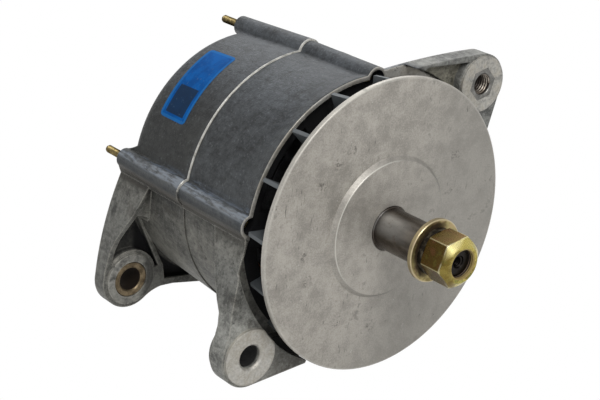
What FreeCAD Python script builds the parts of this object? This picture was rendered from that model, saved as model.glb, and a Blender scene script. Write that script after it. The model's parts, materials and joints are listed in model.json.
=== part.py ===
# A heavy-duty belt-driven alternator: two deep cast end shields that meet over the stator,
# a fan disc in front, a claw-pole rotor inside, and the rectifier, brushes and regulator
# at the slip ring end.
# Millimetres. X is right, Y runs back along the shaft from the pulley's seat, Z is up.
import FreeCAD, Part
import math
import os

os.makedirs("parts", exist_ok=True)

V = FreeCAD.Vector
CENTRE = V(0, 0, 0)
SHAFT = V(0, 1, 0)

# Fits and clearances, each a gap between faces
running_gap = 0.05
seat_gap = 0.02
screw_gap = 0.25
air_gap = 0.5
fan_back_gap = 3.0
fan_side_gap = 2.3
spacer_gap = 1.5

# Fan
fan_radius = 100.0
fan_rim_thickness = 3.3
plateau_radius = 46.0
plateau_height = 3.0
plateau_slope = 2.6
fan_hub_radius = 24.0
fan_flare_radius = 42.0
fan_hub_length = 28.0
fan_bore_chamfer = 1.0
blade_count = 17
blade_first_angle = 93.0
blade_depth = 18.7
blade_thickness = 2.6
blade_tip_inset = 1.5
blade_tip_taper = 2.3
blade_root_radius = 46.0
blade_root_slope = 12.0

# Shaft
seat_radius = 14.0
fan_seat_radius = 14.5
fan_seat_chamfer = 0.3
seat_length = 39.2
thread_radius = 9.45
thread_length = 23.5
shaft_front_bearing_radius = 15.0
shaft_core_radius = 17.0
shaft_rear_bearing_radius = 10.0
shaft_slip_ring_radius = 8.5
centre_hole_radius = 3.2
centre_hole_depth = 7.0

# Pulley nut and washers
washer_radius = 21.0
washer_thickness = 3.0
washer_bore_gap = 1.0
spring_washer_radius = 15.6
spring_washer_thickness = 4.0
spring_washer_split = 2.4
spring_washer_turn = 20.0
nut_across_flats = 30.0
nut_height = 20.5
nut_nose_radius = 12.4
nut_nose_depth = 4.2
nut_turn = 12.0

# Casings
rim_flare = 1.9
rim_band = 3.0
rim_flare_length = 9.0
rim_flare_height = 1.5
front_joint_radius = 93.7
joint_step = 0.8
front_shield_length = 68.0
rear_shield_length = 73.0
rear_draft = 3.3
rear_edge_radius = 13.0
mouth_wall = 3.2
arm_mouth_wall = 1.4
arm_mouth_inset = 1.3
mouth_depth = 6.0
front_wall = 6.0
rear_wall = 7.0
shell_wall = 5.1
rear_shell_wall = 4.4
joint_wall = 6.2
rear_inner_corner = 8.0
lip_height = 2.0
lip_width = 4.0

# Front bearing and its hub
front_bearing_outer = 36.0
front_bearing_width = 19.0
front_ball_radius = 6.15
front_ball_count = 8
front_spacer_length = 12.0
front_spacer_radius = 20.5
front_hub_radius = 46.0
bearing_lip_height = 5.0
retainer_thickness = 3.0
retainer_screw_circle = 40.8
retainer_screw_count = 4

# Rear bearing and its hub
rear_bearing_outer = 26.0
rear_bearing_width = 15.0
rear_ball_radius = 4.76
rear_ball_count = 7
rear_hub_radius = 33.0
rear_bearing_inset = 6.0
rear_shoulder_width = 2.5

# Races and cages, shared by both bearings
race_shoulder_share = 0.62
cage_thickness = 2.2
cage_wall = 1.2
ball_pocket_gap = 0.15

# Through screws and their bosses
screw_inset = 1.7
boss_angles = (90.0, 176.0, 270.0, 356.0)
front_boss_radius = 8.2
boss_step = 1.2
pocket_radius = 6.2
pocket_depth = 13.0
boss_overrun = 3.0
boss_dome = 1.2
boss_taper = 2.5
boss_skirt_radius = 15.0
boss_skirt_length = 13.0
boss_flat_drop = 8.0
flank_angle = 182.7
arm_touch_angle = 167.0
screw_radius = 2.5
screw_reach = 20.0
screw_head_flats = 8.0
screw_head_height = 4.0

# Feet, placed about the shaft by circle and angle
foot_offset = 18.0
foot_angle = 221.3
foot_radius = 21.4
foot_bore_radius = 8.0
foot_chamfer = 1.4
foot_back_chamfer = 0.8
front_ring_radius = 19.5
rear_ring_radius = 18.6
ring_height = 1.8
front_boss_back = 3.6
front_foot_lead = 7.6
front_foot_thickness = 13.1
rear_foot_thickness = 11.4
rear_foot_overrun = 1.0
gusset_thickness = 4.0
web_depth = 9.0
foot_recess = 6.0
foot_border = 5.0
rib_thickness = 4.0
bush_radius = 12.95
bush_length = 18.6
bush_inset = 0.3
bush_chamfer = 1.2

# Adjusting ear
ear_offset = 17.0
ear_angle = 44.2
ear_radius = 20.5
ear_ring_radius = 19.2
ear_lead = 10.4
ear_thickness = 13.4
ear_recess = 5.5
ear_border = 4.5
insert_flats = 20.0
insert_turn = 15.0
insert_thread_radius = 6.92
insert_chamfer = 0.9

# Stator
stack_length = 46.0
slot_count = 36
slot_width = 5.6
slot_mouth = 2.6
slot_share = 0.6
tooth_tip = 1.6
slot_liner = 0.4
winding_overhang = 16.0
winding_crown = 3.0
winding_pinch = 1.5

# Rotor
rotor_radius = 65.5
claw_count = 6
pole_disc_thickness = 14.0
pole_disc_step = 2.5
claw_root_width = 33.0
claw_tip_width = 14.0
claw_root_depth = 13.0
claw_tip_depth = 5.5
claw_length = 46.0
pole_core_radius = 32.0
bobbin_wall = 1.6
coil_side_gap = 0.4

# Slip rings
slip_hub_radius = 12.5
slip_ring_radius = 14.5
slip_ring_width = 7.0
slip_ring_pitch = 9.4
slip_hub_lead = 1.0
slip_hub_length = 20.0
collar_outer = 30.0
collar_inner = 24.0
collar_length = 20.0
cap_thickness = 2.0
cap_skirt = 4.0

# Brushes and their holder
brush_width = 7.8
brush_breadth = 4.8
brush_length = 17.0
holder_half_width = 12.0
holder_snout_half_width = 8.5
holder_snout_length = 12.0
holder_height = 20.0
holder_flange_half_width = 21.0
holder_flange_thickness = 3.0
holder_top_wall = 2.5
spring_wire_radius = 0.4
spring_coil_radius = 1.75
spring_turns = 5
spring_sides = 10

# Voltage regulator
regulator_half_width = 26.0
regulator_height = 22.0
regulator_depth = 14.0
regulator_gap = 1.0
regulator_fin_count = 7
regulator_fin_depth = 4.0
regulator_fin_thickness = 2.0
regulator_screw_inset = 5.0

# Air intake windows in the rear wall
window_count = 11
window_first_angle = 160.0
window_pitch = 20.0
window_width = 12.0
window_inner = 42.0
window_margin = 7.8

# Air windows in the front wall
front_window_count = 6
front_window_width = 43.0
front_window_inner = 50.5
front_window_margin = 10.4

# Rectifier
sink_thickness = 3.0
sink_inner = 44.0
sink_margin = 4.8
sink_start = 150.0
sink_sweep = 262.0
negative_sink_gap = 6.0
sink_spacing = 8.0
diode_radius = 6.35
diode_height = 6.5
diode_angles = (200.0, 270.0, 340.0)
diode_offset = 30.0
standoff_radius = 4.2
standoff_inset = 8.0
standoff_angles = (190.0, 290.0, 392.0)

# Terminals
terminal_offset = 1.0
positive_angle = 48.0
negative_angle = 22.0
signal_angle = 135.0
terminal_radius = 3.9
terminal_length = 24.0
terminal_nut_flats = 13.0
terminal_nut_turn = 30.0
terminal_nut_height = 6.5
signal_radius = 2.4
signal_length = 15.0
signal_nut_flats = 8.0
signal_nut_height = 4.0
bush_collar_radius = 11.0
bush_collar_height = 5.0
bush_wall = 3.6

# Small screws
small_screw_radius = 2.5
small_head_radius = 4.25
small_head_height = 3.4
small_screw_bite = 6.0

# Stations along the shaft
y_fan_back = plateau_height + fan_rim_thickness
y_blade_back = y_fan_back + blade_depth
y_rim = y_blade_back + fan_back_gap
y_joint = y_rim + front_shield_length
y_back = y_joint + rear_shield_length
y_wall_front = y_rim + mouth_depth
y_wall_back = y_wall_front + front_wall
y_front_bearing = fan_hub_length + front_spacer_length
y_front_bearing_back = y_front_bearing + front_bearing_width
y_stack_front = y_joint - stack_length / 2
y_stack_back = y_joint + stack_length / 2
y_pole_front = y_joint - claw_length / 2 - pole_disc_thickness / 2
y_pole_back = 2 * y_joint - y_pole_front
y_rear_bearing_back = y_back - rear_bearing_inset
y_rear_bearing = y_rear_bearing_back - rear_bearing_width
y_slip_hub = y_back - slip_hub_lead
y_collar_back = y_back + collar_length
y_boss_back = y_back + boss_overrun

# Radii and circles that follow from the fits and the walls
rim_radius = front_joint_radius + rim_flare
mouth_radius = rim_radius - mouth_wall
rear_joint_radius = front_joint_radius + joint_step
rear_boss_radius = front_boss_radius + boss_step
shell_inner_radius = front_joint_radius - shell_wall
rear_inner_radius = rear_joint_radius - rear_draft - rear_shell_wall
stack_radius = front_joint_radius - joint_wall
register_radius = stack_radius + seat_gap
lip_radius = stack_radius - lip_height
stator_bore = rotor_radius + air_gap
slot_depth = (stack_radius - stator_bore) * slot_share
pole_disc_radius = rotor_radius - claw_root_depth - pole_disc_step
screw_circle = front_joint_radius - screw_inset
fan_clear_radius = fan_radius + fan_side_gap
foot_circle = fan_clear_radius + foot_offset
ear_circle = fan_clear_radius + ear_offset
front_window_outer = mouth_radius - front_window_margin
window_outer = rear_inner_radius - window_margin
sink_outer = rear_inner_radius - sink_margin
standoff_circle = sink_outer - standoff_inset
diode_circle = (sink_inner + sink_outer) / 2
terminal_circle = diode_circle + terminal_offset
foot_bush_bore = bush_radius + running_gap
hole_radius = screw_radius + screw_gap


# Helpers for outlines, turned forms and places round the shaft
def polar(radius, angle):
    return radius * math.cos(math.radians(angle)), radius * math.sin(math.radians(angle))


def path_face(points, place):
    first = points[0]
    here = place(first[0], first[1])
    edges = []
    for point in points[1:] + [first]:
        there = place(point[0], point[1])
        if len(point) == 4:
            edges.append(Part.Arc(here, place(point[2], point[3]), there).toShape())
        elif here.distanceToPoint(there) > 1e-6:
            edges.append(Part.makeLine(here, there))
        here = there
    return Part.Face(Part.Wire(edges))


def upright(shape):
    return shape if shape.Volume > 0 else shape.reversed()


def prism(points, y0, y1):
    face = path_face(points, lambda x, z: V(x, y0, z))
    return upright(face.extrude(V(0, y1 - y0, 0)))


def turned(points):
    face = path_face(points, lambda r, y: V(r, y, 0))
    return upright(face.revolve(CENTRE, SHAFT, 360))


def cyl(radius, y0, y1, x=0.0, z=0.0):
    return Part.makeCylinder(radius, y1 - y0, V(x, y0, z), SHAFT)


def tube(outer, inner, y0, y1, x=0.0, z=0.0):
    return cyl(outer, y0, y1, x, z).cut(cyl(inner, y0 - 1, y1 + 1, x, z))


def box(x0, x1, y0, y1, z0, z1):
    return Part.makeBox(x1 - x0, y1 - y0, z1 - z0, V(x0, y0, z0))


def swung(shape, angle):
    return shape.rotated(CENTRE, SHAFT, -angle)


def fused(shapes):
    return shapes[0].multiFuse(shapes[1:]).removeSplitter()


def hexagon(flats, y0, y1, x=0.0, z=0.0, start=0.0):
    corners = [polar(flats / math.sqrt(3), start + 60 * i) for i in range(6)]
    return prism([(x + u, z + v) for u, v in corners], y0, y1)


def sector(inner, outer, middle, width, y0, y1):
    start = middle - width / 2
    end = middle + width / 2
    return prism([
        polar(outer, start),
        polar(outer, end) + polar(outer, middle),
        polar(inner, end),
        polar(inner, start) + polar(inner, middle),
    ], y0, y1)


def chamfered_hexagon(flats, y0, y1, x=0.0, z=0.0, start=0.0):
    corner = flats / math.sqrt(3)
    bevel = corner - flats / 2
    blank = hexagon(flats, y0, y1, 0.0, 0.0, start)
    envelope = turned([
        (0, y0),
        (corner - bevel, y0),
        (corner, y0 + bevel / 2),
        (corner, y1 - bevel / 2),
        (corner - bevel, y1),
        (0, y1),
    ])
    return blank.common(envelope).translated(V(x, 0, z))


def cap_screw(x, z, y_seat, length, facing, radius=small_screw_radius):
    y_head = y_seat + facing * small_head_height
    head = cyl(small_head_radius, min(y_seat, y_head), max(y_seat, y_head), x, z)
    y_tip = y_seat - facing * length
    shank = cyl(radius, min(y_seat, y_tip), max(y_seat, y_tip), x, z)
    socket = hexagon(small_head_radius, min(y_head, y_head - facing * 2), max(y_head, y_head - facing * 2), x, z)
    return fused([head, shank]).cut(socket)


def save(shape, name):
    shape.exportStep("parts/" + name + ".step")


# Fan: turned disc and hub with straight radial blades cast on its back
def fan():
    bore = fan_seat_radius + seat_gap
    disc = turned([
        (bore + fan_bore_chamfer, 0),
        (plateau_radius, 0),
        (plateau_radius + plateau_slope, plateau_height),
        (fan_radius - 0.6, plateau_height),
        (fan_radius, plateau_height + 0.6),
        (fan_radius, y_fan_back),
        (fan_flare_radius, y_fan_back),
        (fan_hub_radius, y_fan_back + 13, fan_hub_radius + 5, y_fan_back + 4),
        (fan_hub_radius, fan_hub_length),
        (bore, fan_hub_length),
        (bore, fan_bore_chamfer),
    ])
    outline = [
        (blade_root_radius - blade_root_slope, y_fan_back - 0.5),
        (fan_radius - blade_tip_inset, y_fan_back - 0.5),
        (fan_radius - blade_tip_inset - blade_tip_taper, y_blade_back),
        (blade_root_radius + blade_root_slope, y_blade_back),
    ]
    flat = path_face(outline, lambda r, y: V(r, y, -blade_thickness / 2))
    blade = upright(flat.extrude(V(0, 0, blade_thickness)))
    pitch = 360.0 / blade_count
    blades = [swung(blade, blade_first_angle + pitch * i) for i in range(blade_count)]
    return fused([disc] + blades)


# Shaft: one turned bar, stepped for the pulley, both bearings, the poles and the slip rings
def shaft():
    y_thread = -seat_length - thread_length
    y_slip_end = y_slip_hub + slip_hub_length
    bar = turned([
        (0, y_thread),
        (thread_radius - 1.2, y_thread),
        (thread_radius, y_thread + 1.2),
        (thread_radius, -seat_length),
        (seat_radius - 0.8, -seat_length),
        (seat_radius, -seat_length + 0.8),
        (seat_radius, 0),
        (fan_seat_radius, fan_seat_chamfer),
        (fan_seat_radius, fan_hub_length),
        (shaft_front_bearing_radius, fan_hub_length),
        (shaft_front_bearing_radius, y_front_bearing_back),
        (shaft_core_radius, y_front_bearing_back),
        (shaft_core_radius, y_pole_back),
        (shaft_rear_bearing_radius + 3, y_pole_back),
        (shaft_rear_bearing_radius + 3, y_rear_bearing),
        (shaft_rear_bearing_radius, y_rear_bearing),
        (shaft_rear_bearing_radius, y_rear_bearing_back),
        (shaft_slip_ring_radius, y_rear_bearing_back),
        (shaft_slip_ring_radius, y_slip_end),
        (0, y_slip_end),
    ])
    centre = turned([
        (0, y_thread - 1),
        (centre_hole_radius + 1.4, y_thread - 1),
        (centre_hole_radius + 1.4, y_thread),
        (centre_hole_radius, y_thread + 1.4),
        (centre_hole_radius, y_thread + centre_hole_depth),
        (0, y_thread + centre_hole_depth + centre_hole_radius),
    ])
    return bar.cut(centre)


def fan_spacer():
    return tube(front_spacer_radius, shaft_front_bearing_radius + seat_gap, fan_hub_length, y_front_bearing)


# Washer, split spring washer and nut that clamp the pulley on its seat
y_washer = -seat_length - washer_thickness
y_spring_washer = y_washer - spring_washer_thickness
y_nut = y_spring_washer - nut_height


def plain_washer():
    bore = thread_radius + washer_bore_gap
    return turned([
        (bore, y_washer),
        (washer_radius - 0.5, y_washer),
        (washer_radius, y_washer + 0.5),
        (washer_radius, -seat_length),
        (bore, -seat_length),
    ])


def spring_washer():
    bore = thread_radius + washer_bore_gap
    ring = tube(spring_washer_radius, bore, y_spring_washer, y_washer)
    half = spring_washer_split / 2
    gap = box(0, washer_radius, y_spring_washer - 1, y_washer + 1, -half, half)
    return ring.cut(gap).rotated(CENTRE, SHAFT, spring_washer_turn)


def pulley_nut():
    corner = nut_across_flats / math.sqrt(3)
    y_flats = y_nut + nut_nose_depth
    bore = thread_radius + running_gap
    blank = hexagon(nut_across_flats, y_nut, y_spring_washer, 0, 0, nut_turn)
    envelope = turned([
        (bore + 0.4, y_nut),
        (nut_nose_radius, y_nut),
        (corner, y_flats),
        (corner, y_spring_washer - 1.0),
        (corner - 1.8, y_spring_washer),
        (bore, y_spring_washer),
        (bore, y_nut + 0.4),
    ])
    return blank.common(envelope)


# Outlines of the feet and the ear in the plane across the shaft
foot_x, foot_z = polar(foot_circle, foot_angle)
ear_x, ear_z = polar(ear_circle, ear_angle)
side_x, side_z = polar(screw_circle, boss_angles[1])
flank_edge = polar(rear_joint_radius, flank_angle)
arm_top = polar(rear_joint_radius, flank_angle - 1.2)
arm_touch = (foot_x + foot_radius * math.cos(math.radians(arm_touch_angle)),
             foot_z + foot_radius * math.sin(math.radians(arm_touch_angle)))


def about(centre_x, centre_z, radius, angle):
    dx, dz = polar(radius, angle)
    return centre_x + dx, centre_z + dz


def front_foot_outline():
    bottom = about(foot_x, foot_z, foot_radius, 280)
    return [
        arm_top,
        arm_touch,
        bottom + about(foot_x, foot_z, foot_radius, 221),
        polar(fan_clear_radius + 2.0, 246),
        polar(front_joint_radius * 0.75, 246),
        polar(front_joint_radius * 0.75, 180),
    ]


def rear_foot_side(inset):
    top = (side_x - 3.0 + inset, side_z - 9.0)
    left = (foot_x - foot_radius * 0.99 + inset, foot_z + foot_radius * 0.14)
    bulge = (foot_x - foot_radius * 0.70 + inset, foot_z + foot_radius * 2.05)
    return [top, left + bulge]


def rear_foot_outline():
    right = about(foot_x, foot_z, foot_radius, 306)
    dip_z = foot_z - foot_radius * 0.5
    return rear_foot_side(0.0) + [
        right + about(foot_x, foot_z, foot_radius, 239),
        (foot_x + foot_radius * 1.28, dip_z) + (foot_x + foot_radius * 0.88, dip_z - 2.6),
        (foot_x + foot_radius * 1.75, dip_z),
        (-front_boss_radius, -screw_circle - 4.0),
        (0.0, -front_joint_radius * 0.75),
        polar(front_joint_radius * 0.75, 176),
    ]


def ear_outline():
    top = about(ear_x, ear_z, ear_radius, 92)
    right = about(ear_x, ear_z, ear_radius, -13)
    return [
        (0.0, screw_circle + 4.5),
        top + (ear_x * 0.46, ear_z + ear_radius * 0.88),
        right + about(ear_x, ear_z, ear_radius, 45),
        polar(front_joint_radius + 1, 14),
        polar(front_joint_radius * 0.75, 14),
        polar(front_joint_radius * 0.75, 90),
    ]


# Wall seen from the side: deep at the casing and no deeper than the plate at the foot
def gusset(outline, y_plate, y_plate_far, steps):
    reach = [(y_plate, 0.0), (y_plate, foot_z - foot_radius - 2)]
    reach += [(y_plate_far, foot_z - foot_radius - 2)]
    reach += steps
    side = path_face(reach, lambda y, z: V(foot_x - 2 * foot_radius, y, z))
    slab = upright(side.extrude(V(2 * foot_radius - rear_inner_radius - foot_x, 0, 0)))
    low = min(y_plate, y_plate_far, min(y for y, z in steps))
    high = max(y_plate, y_plate_far, max(y for y, z in steps))
    return prism(outline, low, high).common(slab)


y_front_foot = y_rim - front_foot_lead
y_front_foot_back = y_front_foot + front_foot_thickness
y_rear_foot_back = y_back + rear_foot_overrun
y_rear_foot = y_rear_foot_back - rear_foot_thickness
y_ear = y_rim - ear_lead
y_ear_back = y_ear + ear_thickness
boss_places = [polar(screw_circle, angle) for angle in boss_angles]


# Chamber of the drive end shield, from the back of its air wall to the joint
def front_chamber():
    return turned([
        (0, y_front_bearing_back),
        (front_hub_radius, y_front_bearing_back),
        (front_hub_radius, y_wall_back),
        (shell_inner_radius, y_wall_back),
        (shell_inner_radius, y_stack_front - lip_width),
        (lip_radius, y_stack_front - lip_width),
        (lip_radius, y_stack_front),
        (register_radius, y_stack_front),
        (register_radius, y_joint + 1),
        (0, y_joint + 1),
    ])


def front_foot():
    outline = front_foot_outline()
    plate = prism(outline, y_front_foot, y_front_foot_back)
    wall = gusset(outline, y_front_foot, y_front_foot_back, [
        (y_front_foot_back, foot_z + foot_radius * 0.95),
        (y_front_foot_back + 2, foot_z + foot_radius * 1.3),
        (y_front_foot_back + 7, foot_z + foot_radius * 1.6),
        (y_front_foot_back + 15.3, foot_z + foot_radius * 2.2),
        (y_front_foot_back + 27.5, foot_z + foot_radius * 3.5),
        (y_front_foot_back + 27.5, 0.0),
    ])
    slope = path_face([
        (0.0, 20.0),
        (y_rim, 20.0),
        (y_rim, foot_z + foot_radius * 2.9),
        (y_rim - 2.6, foot_z + foot_radius * 2.3),
        (y_rim - 4.8, foot_z + foot_radius * 1.45),
        (y_front_foot, foot_z + foot_radius * 0.9),
        (0.0, foot_z + foot_radius * 0.9),
    ], lambda y, z: V(foot_x - 2 * foot_radius, y, z))
    slope = upright(slope.extrude(V(3 * foot_radius, 0, 0)))
    ring = cyl(front_ring_radius, y_front_foot - ring_height, y_front_foot, foot_x, foot_z)
    boss = cyl(front_ring_radius, y_front_foot_back - 0.5, y_front_foot_back + front_boss_back, foot_x, foot_z)
    y_web = y_front_foot_back + web_depth
    cone = Part.makeCone(fan_clear_radius + 2, front_joint_radius, web_depth, V(0, y_front_foot_back, 0), SHAFT)
    web = prism(outline, y_front_foot_back, y_web).common(cone)
    inner = polar(front_joint_radius - 2, foot_angle)
    half = rib_thickness / 2
    rib = prism([
        (inner[0], inner[1] - half),
        (inner[0], inner[1] + half),
        (foot_x + front_ring_radius, foot_z + foot_radius),
        (foot_x + front_ring_radius - 2 * half, foot_z + front_ring_radius - 2 * half),
    ], y_front_foot_back - 0.5, y_front_foot_back + 8)
    return fused([plate, wall, web]).cut(slope).multiFuse([ring, boss, rib])


def arm_mouth():
    right = arm_top[0] + 3 * foot_radius
    room = prism([
        (arm_top[0] + arm_mouth_wall, arm_top[1]),
        (arm_touch[0] + arm_mouth_wall, arm_touch[1]),
        (right, arm_touch[1]),
        (right, arm_top[1]),
    ], y_rim - 1, y_wall_front)
    return room.common(cyl(fan_clear_radius - arm_mouth_inset, y_rim - 1, y_wall_front))


def ear():
    plate = prism(ear_outline(), y_ear, y_ear_back)
    ring = cyl(ear_ring_radius, y_ear - ring_height, y_ear, ear_x, ear_z)
    pocket_inner = fan_clear_radius - 4
    pocket = prism([
        polar(pocket_inner, 74),
        (ear_x - ear_radius * 2.45, ear_z + ear_radius - ear_border),
        (ear_x - ear_radius * 0.55, ear_z + ear_radius - ear_border),
        polar(pocket_inner, 44),
    ], y_ear - 1, y_ear + ear_recess)
    pocket = pocket.cut(cyl(ear_ring_radius + 1.2, y_ear - 2, y_ear_back, ear_x, ear_z))
    return plate.cut(pocket).fuse(ring)


def drive_end_shield():
    outer = turned([
        (0, y_rim),
        (rim_radius - 0.6, y_rim),
        (rim_radius, y_rim + 0.6),
        (rim_radius - 0.2, y_rim + rim_band),
        (rim_radius - rim_flare_height, y_rim + rim_flare_length),
        (front_joint_radius, y_joint),
        (0, y_joint),
    ])
    bosses = [cyl(front_boss_radius, y_rim, y_joint, x, z) for x, z in boss_places]
    flank = prism([
        (side_x - front_boss_radius, side_z),
        flank_edge,
        (side_x + 4, side_z - boss_flat_drop),
        (side_x + 4, side_z),
    ], y_rim, y_joint)
    body = fused([outer, front_foot(), ear()] + bosses).fuse(flank)
    pitch = 360.0 / front_window_count
    windows = [
        sector(front_window_inner, front_window_outer, pitch * (i + 0.5), front_window_width,
               y_wall_front - 1, y_wall_back + 1)
        for i in range(front_window_count)
    ]
    cuts = [
        front_chamber(),
        cyl(fan_clear_radius, 0, y_rim),
        cyl(mouth_radius, y_rim - 1, y_wall_front),
        arm_mouth(),
        cyl(front_bearing_outer + seat_gap, y_front_bearing, y_front_bearing_back + 1),
        cyl(front_spacer_radius + spacer_gap, y_wall_front - 1, y_front_bearing + 1),
        cyl(foot_bore_radius, y_front_foot - 5, y_front_foot_back + 10, foot_x, foot_z),
        hexagon(insert_flats + 2 * seat_gap, y_ear - 5, y_ear_back + 1, ear_x, ear_z, insert_turn),
    ]
    cuts.append(foot_mouth(y_front_foot - ring_height, 1, foot_chamfer))
    cuts.append(foot_mouth(y_front_foot_back + front_boss_back, -1, foot_back_chamfer))
    cuts += [cyl(hole_radius, y_rim, y_joint + 1, x, z) for x, z in boss_places]
    cuts += [cyl(pocket_radius, y_rim - 1, y_rim + pocket_depth, x, z) for x, z in boss_places]
    for x, z in retainer_screw_places():
        cuts.append(cyl(small_screw_radius, y_front_bearing_back - 9, y_front_bearing_back + 1, x, z))
    return body.cut(Part.makeCompound(windows)).cut(cuts[0]).cut(fused_cuts(cuts[1:]))


def fused_cuts(shapes):
    return shapes[0].multiFuse(shapes[1:])


def foot_mouth(y_face, side, chamfer):
    return Part.makeCone(foot_bore_radius + chamfer, foot_bore_radius, chamfer,
                         V(foot_x, y_face, foot_z), V(0, side, 0))


def retainer_screw_places():
    pitch = 360.0 / retainer_screw_count
    return [polar(retainer_screw_circle, pitch * (i + 0.5)) for i in range(retainer_screw_count)]


# Skirt that sweeps from a screw boss's end into the rounded edge of the shell
def boss_skirt(end_radius):
    y_low = y_back - boss_skirt_length
    return turned([
        (0, y_low),
        (boss_skirt_radius, y_low),
        (end_radius, y_back + 1, end_radius + 2.2, y_back - boss_skirt_length * 0.32),
        (0, y_back + 1),
    ])


# Slip ring end shield: shell, end wall with bearing hub, collar round the slip rings, rear foot
def rear_chamber():
    inner = rear_inner_radius
    corner = rear_inner_corner
    y_wall = y_back - rear_wall
    return turned([
        (0, y_joint - 1),
        (register_radius, y_joint - 1),
        (register_radius, y_stack_back),
        (lip_radius, y_stack_back),
        (lip_radius, y_stack_back + lip_width),
        (inner, y_stack_back + lip_width),
        (inner, y_wall - corner),
        (inner - corner, y_wall, inner - corner * 0.293, y_wall - corner * 0.293),
        (rear_hub_radius, y_wall),
        (rear_hub_radius, y_rear_bearing),
        (0, y_rear_bearing),
    ])


def rear_foot():
    outline = rear_foot_outline()
    plate = prism(outline, y_rear_foot, y_rear_foot_back)
    wall = gusset(outline, y_rear_foot_back, y_rear_foot, [
        (y_rear_foot, foot_z + foot_radius * 0.4),
        (y_rear_foot - 2.2, foot_z + foot_radius * 1.14),
        (y_rear_foot - 5.2, foot_z + foot_radius * 1.56),
        (y_rear_foot - 11.4, foot_z + foot_radius * 2.08),
        (y_rear_foot - 17.2, foot_z + foot_radius * 2.57),
        (y_rear_foot - 20.2, foot_z + foot_radius * 3.0),
        (y_rear_foot - 22.6, foot_z + foot_radius * 3.5),
        (y_rear_foot - 23.6, 0.0),
    ])
    ring = cyl(rear_ring_radius, y_rear_foot - ring_height, y_rear_foot + 1, foot_x, foot_z)
    boss = cyl(foot_radius, y_rear_foot, y_rear_foot_back, foot_x, foot_z)
    recesses = rear_recesses(y_rear_foot - 24, y_rear_foot + foot_recess)
    return fused([fused([plate, wall]).cut(recesses), ring, boss])


def rear_recesses(y0, y1):
    room = prism(rear_foot_side(gusset_thickness) + [(0.0, foot_z), (0.0, 0.0)], y0, y1)
    apex = polar(rear_joint_radius - 1, 197.5)
    rib_foot = polar(rear_joint_radius + 5, 228)
    inside = rear_joint_radius * 0.8
    outer = prism([
        apex,
        (foot_x - foot_radius * 0.5, foot_z + foot_radius * 2.6),
        (foot_x - foot_radius * 1.2, foot_z + foot_radius * 2.0),
        (foot_x - foot_radius * 1.2, foot_z + foot_radius * 0.25),
        (foot_x, foot_z),
        rib_foot,
    ], y0, y1).common(room)
    low = foot_z - foot_radius * 0.5 + foot_border
    inner = prism([
        (apex[0] + rib_thickness, apex[1] - rib_thickness),
        (rib_foot[0] + rib_thickness, rib_foot[1]),
        (rib_foot[0] + rib_thickness + 2, low),
        (-inside * 0.35, low - 2),
        polar(inside, 250),
        polar(inside, 205),
    ], y0, y1)
    keep = cyl(rear_ring_radius + 1.6, y0 - 1, y1 + 1, foot_x, foot_z)
    return Part.makeCompound([outer.cut(keep), inner.cut(keep)])


def rear_windows():
    middles = [window_first_angle + window_pitch * i for i in range(window_count)]
    return [sector(window_inner, window_outer, a, window_width, y_back - rear_wall - 1, y_back + 1) for a in middles]


def standoff_places():
    return [polar(standoff_circle, angle) for angle in standoff_angles]


def slip_ring_end_shield():
    waist = rear_joint_radius - rear_draft
    edge = rear_edge_radius
    outer = turned([
        (0, y_joint),
        (rear_joint_radius, y_joint),
        (rear_joint_radius, y_joint + 1),
        (waist, y_back - edge),
        (waist - edge, y_back, waist - edge * 0.293, y_back - edge * 0.293),
        (0, y_back),
    ])
    end_radius = rear_boss_radius - boss_taper
    y_dome = y_boss_back - boss_dome
    length = y_dome - y_joint
    waist_bar = cyl(waist, y_joint, y_boss_back)
    bosses = []
    for x, z in boss_places:
        bosses.append(Part.makeCone(rear_boss_radius, end_radius, length, V(x, y_joint, z), SHAFT))
        bosses.append(Part.makeCone(end_radius, end_radius - boss_dome, boss_dome, V(x, y_dome, z), SHAFT))
        bosses.append(boss_skirt(end_radius).translated(V(x, 0, z)).common(waist_bar))
    flank = prism([
        (side_x - end_radius, side_z),
        flank_edge,
        (side_x + 4, side_z - boss_flat_drop),
        (side_x + 4, side_z),
    ], y_joint, y_dome)
    collar = cyl(collar_outer, y_back - 1, y_collar_back)
    body = fused([outer, flank, collar, rear_foot()] + bosses)
    snout = holder_snout_half_width + screw_gap
    terminal_hole = terminal_radius + bush_wall + screw_gap
    px, pz = polar(terminal_circle, positive_angle)
    nx, nz = polar(terminal_circle, negative_angle)
    sx, sz = polar(terminal_circle, signal_angle)
    cuts = [
        cyl(rear_bearing_outer + seat_gap, y_rear_bearing - 1, y_rear_bearing_back),
        cyl(rear_bearing_outer - 6, y_rear_bearing_back - 1, y_rear_bearing_back + rear_shoulder_width),
        cyl(collar_inner, y_rear_bearing_back + rear_shoulder_width, y_collar_back + 1),
        cyl(foot_bush_bore, y_rear_foot - 5, y_rear_foot_back + 1, foot_x, foot_z),
        box(-snout, snout, y_back - 0.01, y_collar_back - 1.5, collar_inner - 8, collar_outer + 5),
        cyl(terminal_hole, y_back - rear_wall - 1, y_back + 1, px, pz),
        cyl(terminal_radius, y_back - rear_wall - 1, y_back + 1, nx, nz),
        cyl(signal_radius + bush_wall, y_back - rear_wall - 1, y_back + 1, sx, sz),
    ]
    cuts += [cyl(screw_radius, y_joint - 1, y_boss_back + 1, x, z) for x, z in boss_places]
    for x, z in standoff_places() + holder_screw_places() + regulator_screw_places():
        cuts.append(cyl(small_screw_radius, y_back - rear_wall - 1, y_back + 1, x, z))
    return body.cut(rear_chamber()).cut(Part.makeCompound(rear_windows())).cut(fused_cuts(cuts))


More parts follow.
